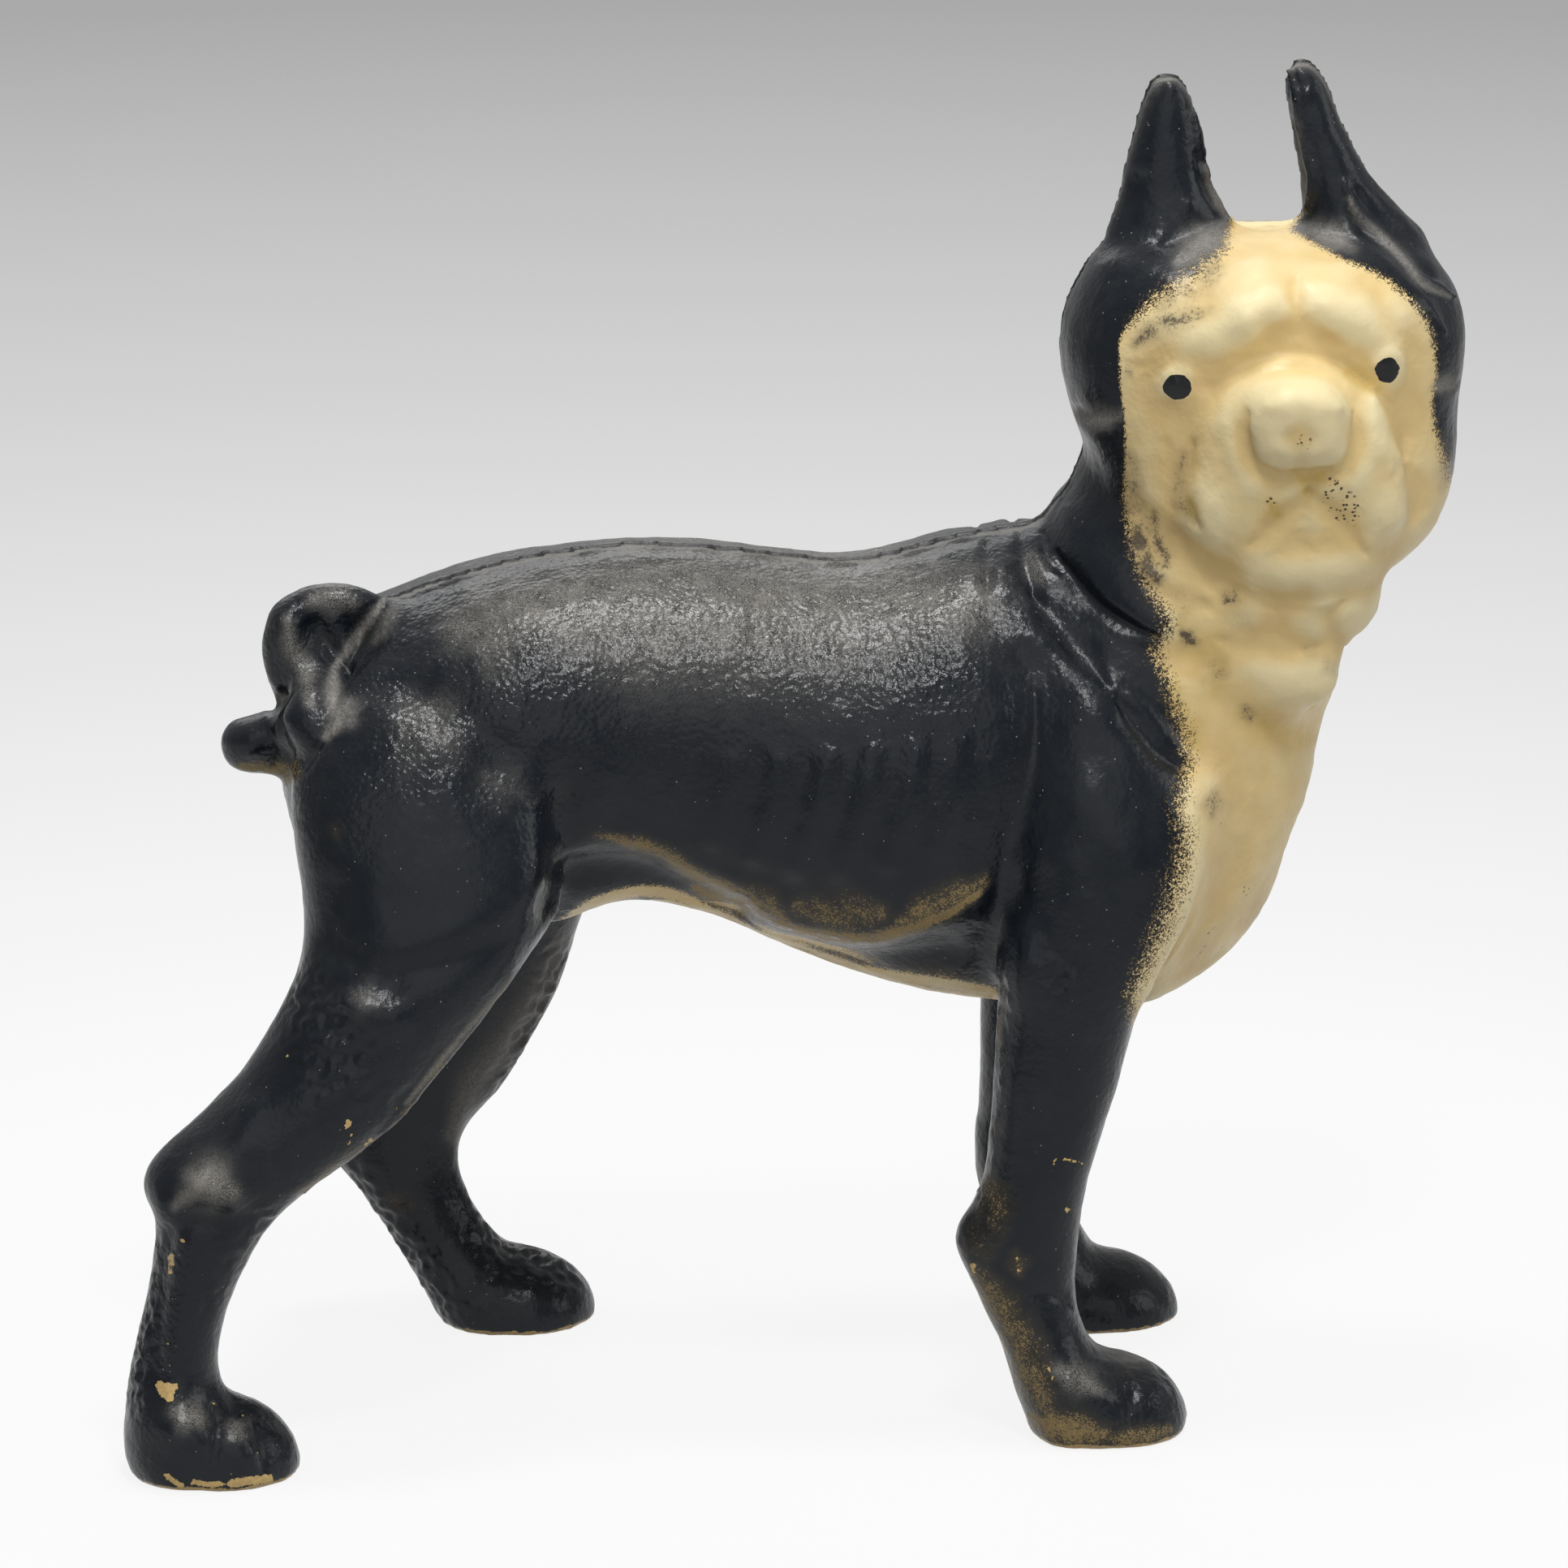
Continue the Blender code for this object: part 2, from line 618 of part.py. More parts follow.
def make_figure(cutters):
    """The whole dog as one solid skin, before it is parted and hollowed."""
    shape = bmesh.new()
    add_loft(shape, trunk_rings())
    for sections in (CHEST_AND_NECK, SKULL, RIGHT_EAR, LEFT_EAR):
        add_loft(shape, level_rings(drawn_rows(sections, LEVEL_AXES)))
    add_loft(shape, nose_rings())
    for leg in LEGS:
        add_leg(shape, *leg)
    for centre, radii, turn in MASSES:
        add_mass(shape, drawn(centre), drawn(radii), turn)
    add_tail(shape, cutters)
    mesh = bpy.data.meshes.new("figure")
    shape.to_mesh(mesh)
    shape.free()
    figure = as_helper(object_of("figure", mesh, cutters))
    with_modifier(figure, "REMESH", mode="VOXEL", voxel_size=VOXEL)
    with_modifier(figure, "SMOOTH", factor=SMOOTHING, iterations=SMOOTH_PASSES)
    model_surface(figure.data)
    with_modifier(figure, "SMOOTH", factor=SMOOTHING, iterations=1)
    mark_face(figure)
    thinned(figure, SKIN_TRIANGLES, vertex_group="face", vertex_group_factor=THINNING_SPREAD)
    figure.vertex_groups.clear()
    return figure


def box_between(name, low, high, collection):
    shape = bmesh.new()
    middle = (Vector(low) + Vector(high)) / 2
    size = Matrix.Diagonal((*(Vector(high) - Vector(low)), 1.0))
    bmesh.ops.create_cube(shape, size=1.0, matrix=Matrix.Translation(middle) @ size)
    mesh = bpy.data.meshes.new(name)
    shape.to_mesh(mesh)
    shape.free()
    return as_helper(object_of(name, mesh, collection))


def rod(name, diameter, start, end, collection):
    """A cylinder along Y through the screw's place."""
    shape = bmesh.new()
    middle = Matrix.Translation((SCREW_X, (start + end) / 2, SCREW_Z))
    bmesh.ops.create_cone(
        shape,
        cap_ends=True,
        segments=ROUND_SIDES,
        radius1=diameter / 2,
        radius2=diameter / 2,
        depth=end - start,
        matrix=middle @ Matrix.Rotation(math.pi / 2, 4, "X"),
    )
    mesh = bpy.data.meshes.new(name)
    shape.to_mesh(mesh)
    shape.free()
    return object_of(name, mesh, collection)


def drill(owner, name, diameter, start, end, cutters):
    """Cuts a round hole along the screw's line."""
    boolean(owner, as_helper(rod(name, diameter, start, end, cutters)), "DIFFERENCE")


def make_core(cutters):
    """The hollow inside body, neck and head, one wall inside the sections all round."""
    shape = bmesh.new()
    add_loft(shape, trunk_rings(WALL))
    for sections in (CHEST_AND_NECK, SKULL):
        add_loft(shape, level_rings(drawn_rows(sections, LEVEL_AXES), WALL))
    mesh = bpy.data.meshes.new("core")
    shape.to_mesh(mesh)
    shape.free()
    core = as_helper(object_of("core", mesh, cutters))
    with_modifier(core, "REMESH", mode="VOXEL", voxel_size=CORE_VOXEL)
    with_modifier(core, "SMOOTH", factor=SMOOTHING, iterations=CORE_PASSES)
    thinned(core, CORE_TRIANGLES)
    return core


def left_flank_of(figure, reach):
    """Where the outside of the body lies on the screw's line, on the left side."""
    tree = BVHTree.FromObject(figure, bpy.context.evaluated_depsgraph_get())
    return tree.ray_cast(Vector((SCREW_X, reach, SCREW_Z)), Vector((0, -1, 0)))[0].y


def half_of(figure, name, side, reach, parts, cutters):
    """Keeps the figure's left (+1) or right (-1) side, half the seam gap from the middle plane."""
    half = object_of(name, figure.data.copy(), parts)
    near, far = side * SEAM_GAP / 2, -side * reach
    low = (-reach, min(near, far), -reach)
    high = (reach, max(near, far), reach)
    boolean(half, box_between(name + "_away", low, high, cutters), "DIFFERENCE")
    return half


def make_halves(parts, cutters):
    """The two castings, and the level of the seat for the screw's head."""
    figure = make_figure(cutters)
    reach = CUTTER_REACH * max(abs(value) for corner in figure.bound_box for value in corner)
    floor = box_between("floor_cutter", (-reach, -reach, -reach), (reach, reach, 0.0), cutters)
    boolean(figure, floor, "DIFFERENCE")
    head_seat = left_flank_of(figure, reach) - HEAD_HEIGHT

    core = make_core(cutters)
    drill(core, "boss_column", BOSS_DIAMETER, -reach, reach, cutters)
    boolean(figure, core, "DIFFERENCE")
    right_half = half_of(figure, "right_half_casting", -1, reach, parts, cutters)
    left_half = half_of(figure, "left_half_casting", 1, reach, parts, cutters)

    shank_hole = SHANK_DIAMETER + 2 * SHANK_CLEARANCE
    drill(left_half, "shank_hole", shank_hole, -reach, reach, cutters)
    head_recess = HEAD_DIAMETER + 2 * HEAD_CLEARANCE
    drill(left_half, "head_recess", head_recess, head_seat, reach, cutters)
    thread_hole = SHANK_DIAMETER + 2 * THREAD_CLEARANCE
    drill(right_half, "thread_hole", thread_hole, -THREAD_DEPTH - THREAD_RUN_OUT, reach, cutters)
    return right_half, left_half, head_seat


def make_screw(head_seat, parts, cutters):
    """Slotted cheese-head screw, its head sunk level with the left flank."""
    under_head = head_seat + HEAD_SEAT_GAP
    top = under_head + HEAD_HEIGHT
    head = rod("body_screw", HEAD_DIAMETER, under_head, top, parts)
    shank = rod("shank", SHANK_DIAMETER, -THREAD_DEPTH, under_head + HEAD_HEIGHT / 2, cutters)
    boolean(head, as_helper(shank), "UNION")
    slot = box_between(
        "slot_cutter",
        (SCREW_X - HEAD_DIAMETER, top - SLOT_DEPTH, SCREW_Z - SLOT_WIDTH / 2),
        (SCREW_X + HEAD_DIAMETER, top + SLOT_DEPTH, SCREW_Z + SLOT_WIDTH / 2),
        cutters,
    )
    boolean(head, slot, "DIFFERENCE")
    return head


def main():
    clear_scene()
    parts = collection_named("cast_iron_terrier_doorstop")
    cutters = collection_named("cutters")
    right_half, left_half, head_seat = make_halves(parts, cutters)
    screw = make_screw(head_seat, parts, cutters)
    for piece, finish in ((right_half, ENAMEL), (left_half, ENAMEL), (screw, STEEL)):
        piece.data.materials.clear()
        piece.data.materials.append(finish_of(piece.name + "_finish", *finish))
        piece.data.shade_smooth()
        piece.data.set_sharp_from_angle(angle=math.radians(SHARP_ANGLE))


main()
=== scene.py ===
"""Looks of the cast iron terrier doorstop: fine skins of its halves, their paint and wear, and the screw.

Lengths are in metres unless a comment or a name says millimetres. Places on the figure that were read off
the photograph are given as its pixels, and every point of the skins is matched with them as the camera sees
it.
"""

import math
from functools import cached_property

import bmesh
import bpy
import numpy as np
from mathutils import Matrix, Vector, noise
from mathutils.bvhtree import BVHTree


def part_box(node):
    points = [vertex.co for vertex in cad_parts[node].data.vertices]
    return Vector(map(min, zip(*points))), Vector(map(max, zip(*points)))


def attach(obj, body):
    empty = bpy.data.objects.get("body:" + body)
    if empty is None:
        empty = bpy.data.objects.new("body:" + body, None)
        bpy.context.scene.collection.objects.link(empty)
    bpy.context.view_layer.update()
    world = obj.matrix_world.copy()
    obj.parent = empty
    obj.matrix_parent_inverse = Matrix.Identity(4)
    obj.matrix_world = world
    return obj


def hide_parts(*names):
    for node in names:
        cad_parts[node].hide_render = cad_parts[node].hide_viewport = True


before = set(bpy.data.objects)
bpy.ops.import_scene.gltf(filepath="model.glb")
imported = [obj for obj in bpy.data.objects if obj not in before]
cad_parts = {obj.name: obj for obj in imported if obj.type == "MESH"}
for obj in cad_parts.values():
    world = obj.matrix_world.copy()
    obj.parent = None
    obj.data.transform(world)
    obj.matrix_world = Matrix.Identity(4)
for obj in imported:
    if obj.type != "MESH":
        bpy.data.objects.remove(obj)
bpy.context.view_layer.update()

MM = 0.001
TINY = 1e-9
RIGHT, LEFT, SCREW = "right_half_casting", "left_half_casting", "body_screw"

# The camera stands as the photograph's did. Angles in degrees.
CAMERA_AZIMUTH = -5.0
CAMERA_ELEVATION = 15.0
CAMERA_DISTANCE = 2.0
CAMERA_CLIP = (0.05, 60)
LOOKS_AT = Vector((0.0, 0.0, 0.1183))
PHOTO_PIXELS = 1932
FOCAL_PIXELS = 13020.0
SENSOR_MM = 36.0
MM_PER_PIXEL = CAMERA_DISTANCE / FOCAL_PIXELS / MM


def linked(name, data):
    made = bpy.data.objects.new(name, data)
    bpy.context.scene.collection.objects.link(made)
    return made


# Camera and the photograph's pixels


def camera_axes():
    azimuth, elevation = math.radians(CAMERA_AZIMUTH), math.radians(CAMERA_ELEVATION)
    back = Vector((
        math.sin(azimuth) * math.cos(elevation),
        -math.cos(azimuth) * math.cos(elevation),
        math.sin(elevation),
    ))
    right = Vector((0, 0, 1)).cross(back).normalized()
    return right, back.cross(right), back


CAMERA_RIGHT, CAMERA_UP, CAMERA_BACK = camera_axes()
CAMERA_PLACE = LOOKS_AT + CAMERA_BACK * CAMERA_DISTANCE


def add_camera():
    data = bpy.data.cameras.new("camera")
    data.sensor_width = SENSOR_MM
    data.lens = FOCAL_PIXELS / PHOTO_PIXELS * SENSOR_MM
    data.clip_start, data.clip_end = CAMERA_CLIP
    camera = linked("camera", data)
    turn = Matrix((CAMERA_RIGHT, CAMERA_UP, CAMERA_BACK)).transposed().to_4x4()
    camera.matrix_world = Matrix.Translation(CAMERA_PLACE) @ turn
    bpy.context.scene.camera = camera


def pixels_of(points):
    """Where points of the scene, an array of rows, lie in the photograph."""
    seen = points - np.array(CAMERA_PLACE)
    depth = -seen @ np.array(CAMERA_BACK)
    across = seen @ np.array(CAMERA_RIGHT) / depth * FOCAL_PIXELS
    up = seen @ np.array(CAMERA_UP) / depth * FOCAL_PIXELS
    return np.stack((PHOTO_PIXELS / 2 + across, PHOTO_PIXELS / 2 - up), axis=1)


# The fine skins

WELD = 1e-6
SKIN_VOXEL = 0.8 * MM
SMOOTH_PASSES = 26
SMOOTHING = 0.5
# Points this close to the seam stay where they are, and those within the ease beyond it move less
SEAM_HELD = 0.6 * MM
SEAM_EASE = 2.5 * MM
# Rays that look for a way out of the figure start this far off the surface, and lean outward by this share
RAY_START = 0.05 * MM
RAY_TURN = 0.1
# The share of the unseen faces that is kept, and how far the shown part reaches past what is seen
HIDDEN_KEPT = 0.04
SHOWN_PASSES = 2


def welded(mesh):
    bm = bmesh.new()
    bm.from_mesh(mesh)
    bmesh.ops.remove_doubles(bm, verts=bm.verts, dist=WELD)
    bm.to_mesh(mesh)
    bm.free()
    return mesh


def bake_modifiers(piece):
    """Makes the piece's evaluated mesh its own and clears its modifiers."""
    bpy.context.view_layer.update()
    evaluated = piece.evaluated_get(bpy.context.evaluated_depsgraph_get())
    mesh = bpy.data.meshes.new_from_object(evaluated)
    old = piece.data
    piece.modifiers.clear()
    piece.data = mesh
    bpy.data.meshes.remove(old)


def tree_of(*meshes):
    points, faces = [], []
    for mesh in meshes:
        start = len(points)
        points += [v.co.copy() for v in mesh.vertices]
        faces += [[start + i for i in p.vertices] for p in mesh.polygons]
    return BVHTree.FromPolygons(points, faces)


def hidden_faces(mesh, tree):
    """Says for each face whether it lies inside the closed figure: no ray from it gets out."""
    steps = [Vector((i - 1, j - 1, k - 1)) for i, j, k in np.ndindex(3, 3, 3)]
    tries = [step.normalized() for step in steps if step.length > 0]
    hidden = []
    for face in mesh.polygons:
        start = face.center + face.normal * RAY_START
        ways = [face.normal] + [d for d in tries if d.dot(face.normal) > RAY_TURN]
        hidden.append(all(tree.ray_cast(start, way)[0] is not None for way in ways))
    return np.array(hidden)


def rows_of(items, name, kind=float, width=3):
    """One value of all vertices or edges, as an array of rows."""
    values = np.empty(len(items) * width, kind)
    items.foreach_get(name, values)
    return values.reshape(-1, width)


def co_of(mesh):
    return rows_of(mesh.vertices, "co")


def edges_of(mesh):
    return rows_of(mesh.edges, "vertices", np.int64, 2)


def set_co(mesh, co):
    mesh.vertices.foreach_set("co", co.ravel())
    mesh.update()


def averaged(values, edges, share):
    """One pass of moving each row towards the mean of its neighbours, by its share."""
    count = np.bincount(edges.ravel(), minlength=len(values)).astype(float)
    total = np.empty_like(values)
    for axis in range(values.shape[1]):
        column = values[:, axis]
        total[:, axis] = np.bincount(edges[:, 0], column[edges[:, 1]], len(values))
        total[:, axis] += np.bincount(edges[:, 1], column[edges[:, 0]], len(values))
    mean = total / np.maximum(count, 1)[:, None]
    return values + (mean - values) * share[:, None]


def smoothed(values, edges, share, passes):
    for _ in range(passes):
        values = averaged(values, edges, share)
    return values


def off_seam(co):
    """0 along the seam, 1 away from it."""
    return np.clip((np.abs(co[:, 1]) - SEAM_HELD) / SEAM_EASE, 0, 1)


def fine_skin(node, name, tree):
    """A dense copy of a casting, with its unseen inside kept light."""
    cad = welded(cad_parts[node].data.copy())
    own_tree = tree_of(cad)
    face_hidden = hidden_faces(cad, tree)
    piece = linked(name, cad)
    remesh = piece.modifiers.new("remesh", "REMESH")
    remesh.mode = "VOXEL"
    remesh.voxel_size = SKIN_VOXEL
    bake_modifiers(piece)

    co = co_of(piece.data)
    seen = np.array([not face_hidden[own_tree.find_nearest(Vector(p))[2]] for p in co])
    spread = smoothed(seen.astype(float)[:, None], edges_of(piece.data), np.ones(len(co)), SHOWN_PASSES)
    shown = spread[:, 0] > 0
    inner = piece.vertex_groups.new(name="inner")
    inner.add(np.flatnonzero(~shown).tolist(), 1.0, "REPLACE")
    thin = piece.modifiers.new("thin_inside", "DECIMATE")
    thin.vertex_group = "inner"
    thin.ratio = 1 - (1 - HIDDEN_KEPT) * float(np.mean(~shown))
    bake_modifiers(piece)
    return piece


def is_shown(piece):
    group = piece.vertex_groups["inner"].index
    hidden = [any(g.group == group and g.weight > 0.5 for g in v.groups) for v in piece.data.vertices]
    return ~np.array(hidden)


def smooth_skin(piece):
    """Takes the facets out of the outer surface, and leaves the edge along the seam where it is."""
    mesh = piece.data
    co, edges = co_of(mesh), edges_of(mesh)
    share = SMOOTHING * (off_seam(co) * is_shown(piece))
    low = smoothed(co, edges, share, SMOOTH_PASSES)
    lost = smoothed(co - low, edges, share, SMOOTH_PASSES)
    set_co(mesh, low + lost)


start_tree = tree_of(*(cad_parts[n].data for n in (RIGHT, LEFT)))
skins = [
    fine_skin(RIGHT, "right_half_enamelled", start_tree),
    fine_skin(LEFT, "left_half_enamelled", start_tree),
]
for skin in skins:
    smooth_skin(skin)

# Places on the figure, as pixels of the photograph

# A stroke has its full strength where the surface faces the camera by this share or more
FULL_FACING = 0.28
# Melted zones and grain hardly heed the facing, marks heed it a little
ZONE_FACING = 0.05
MARK_FACING = 0.1
# The share of a stroke's length over which it narrows at each end
TAPER = 0.3
# A stroke is nothing beyond this many half widths
STROKE_REACH = 3


class Looks:
    """The photograph's view of every point of a skin, on the side that shows and on its mirror image."""

    def __init__(self, piece):
        self.mesh = piece.data
        self.co = co_of(self.mesh)
        self.normals = rows_of(self.mesh.vertices, "normal")
        self.edges = edges_of(self.mesh)
        self.shown = is_shown(piece)
        self.right = self.co[:, 1] < 0
        flip = np.where(self.right[:, None], 1.0, (1.0, -1.0, 1.0))
        back = np.array(CAMERA_BACK)
        self.near = pixels_of(self.co * flip)
        self.near_facing = (self.normals * flip) @ back
        self.true = pixels_of(self.co)
        self.true_facing = self.normals @ back

    def seen(self, side):
        """Pixels, facing and which points count, for right, left, both (mirrored) or far (as it shows)."""
        if side == "far":
            return self.true, self.true_facing, ~self.right & self.shown
        chosen = {"right": self.right, "left": ~self.right, "both": np.ones_like(self.right)}[side]
        return self.near, self.near_facing, chosen & self.shown


def eased(values):
    values = np.clip(values, 0, 1)
    return values * values * (3 - 2 * values)


def curve_through(points, steps=4):
    """A smooth run through the points, by the Catmull-Rom rule."""
    p = np.array(points, float)
    if len(p) < 3:
        return p
    p = np.vstack((2 * p[0] - p[1], p, 2 * p[-1] - p[-2]))
    run = []
    for a, b, c, d in zip(p[:-3], p[1:-2], p[2:-1], p[3:]):
        for t in np.arange(steps) / steps:
            square = (2 * a - 5 * b + 4 * c - d) * t**2
            cube = (3 * b - a - 3 * c + d) * t**3
            run.append(0.5 * (2 * b + (c - a) * t + square + cube))
    return np.array(run + [p[-2]])


def line_distance(pixels, line):
    """How far each place is from the line, in millimetres on the figure, and how far along the line."""
    best = np.full(len(pixels), np.inf)
    along = np.zeros(len(pixels))
    starts, ends = line[:-1], line[1:]
    lengths = np.linalg.norm(ends - starts, axis=1)
    done = np.concatenate(((0,), np.cumsum(lengths))) / max(lengths.sum(), TINY)
    for index, (start, end) in enumerate(zip(starts, ends)):
        way = end - start
        t = np.clip((pixels - start) @ way / max(way @ way, TINY), 0, 1)
        distance = np.linalg.norm(pixels - start - t[:, None] * way, axis=1)
        closer = distance < best
        best[closer] = distance[closer]
        along[closer] = done[index] + t[closer] * (done[index + 1] - done[index])
    return best * MM_PER_PIXEL, along


def stroke(looks, side, width, points, ends=1.0, facing=FULL_FACING):
    """How strongly a soft stroke of this half width covers each point. It narrows to `ends` at its ends."""
    pixels, faces, counts = looks.seen(side)
    line = curve_through(points) if len(points) > 1 else np.array((points[0], points[0]), float)
    reach = STROKE_REACH * width / MM_PER_PIXEL
    inside = counts & np.all((pixels > line.min(0) - reach) & (pixels < line.max(0) + reach), axis=1)
    cover = np.zeros(len(pixels))
    if not inside.any():
        return cover
    distance, along = line_distance(pixels[inside], line)
    if ends < 1 and len(points) > 1:
        distance = distance / (ends + (1 - ends) * eased(np.minimum(along, 1 - along) / TAPER))
    cover[inside] = np.exp(-((distance / width) ** 2))
    if facing:
        cover[inside] *= np.clip(faces[inside] / facing, 0, 1)
    return cover


def strokes(looks, table, **how):
    """Each stroke of a table that is laid out by sides, times the height or strength in its row."""
    for side, rows in table.items():
        for width, strength, *points in rows:
            yield strength * stroke(looks, side, width, points, **how)


def zone_distance(pixels, outline):
    """Signed distance from a closed outline, in millimetres on the figure, positive inside."""
    outline = np.array(outline, float)
    closed = np.vstack((outline, outline[:1]))
    distance, _ = line_distance(pixels, closed)
    inside = np.zeros(len(pixels), bool)
    for (x1, y1), (x2, y2) in zip(closed[:-1], closed[1:]):
        if y1 == y2:
            continue
        crosses = (y1 > pixels[:, 1]) != (y2 > pixels[:, 1])
        inside ^= crosses & (pixels[:, 0] < (x2 - x1) * (pixels[:, 1] - y1) / (y2 - y1) + x1)
    return np.where(inside, distance, -distance)


# Relief of the castings. Each row of these tables is one stroke on the side that heads the rows: its half
# width in millimetres, its height in millimetres (below zero is a crease) or another strength, and pixels
# along it.

# Zones where the casting's own creases are melted first, with the share of it
SOFTENED = {"right": (
    (8.0, 1.0, (1490, 960), (1496, 1010), (1488, 1070), (1462, 1120), (1430, 1180), (1405, 1230)),
    (6.5, 1.0, (1613, 620), (1575, 650), (1532, 672), (1508, 690)),
    (6.5, 1.0, (1613, 620), (1645, 646), (1677, 682)),
    (5.0, 1.0, (1480, 700), (1540, 722), (1604, 732), (1660, 720), (1710, 690)),
    (4.0, 0.8, (1500, 470), (1546, 434), (1600, 410), (1640, 445), (1680, 476)),
    (4.5, 1.0, (334, 915), (348, 905), (362, 895), (368, 912)),
    (4.5, 0.8, (1536, 500), (1536, 545), (1560, 585), (1610, 598), (1655, 578), (1670, 540), (1664, 505)),
), "both": (
    (4.0, 1.0, (1278, 728), (1309, 766), (1348, 807), (1373, 842), (1399, 887), (1424, 922), (1456, 951)),
    (3.8, 1.0, (1268, 830), (1276, 860), (1272, 951), (1256, 1014), (1240, 1062), (1230, 1110)),
)}
SOFT_PASSES = 60
# Zones melted whole on both sides, the hollow between arm and chest: middle and reach in x, y from the seam
# and z, in millimetres, and where the melting starts and how fast it rises, as shares of the reach
MELTED = (((86, 27, 104), (20, 15, 36)),)
MELT_START = 1.2
MELT_EASE = 0.5
MELT_PASSES = 260

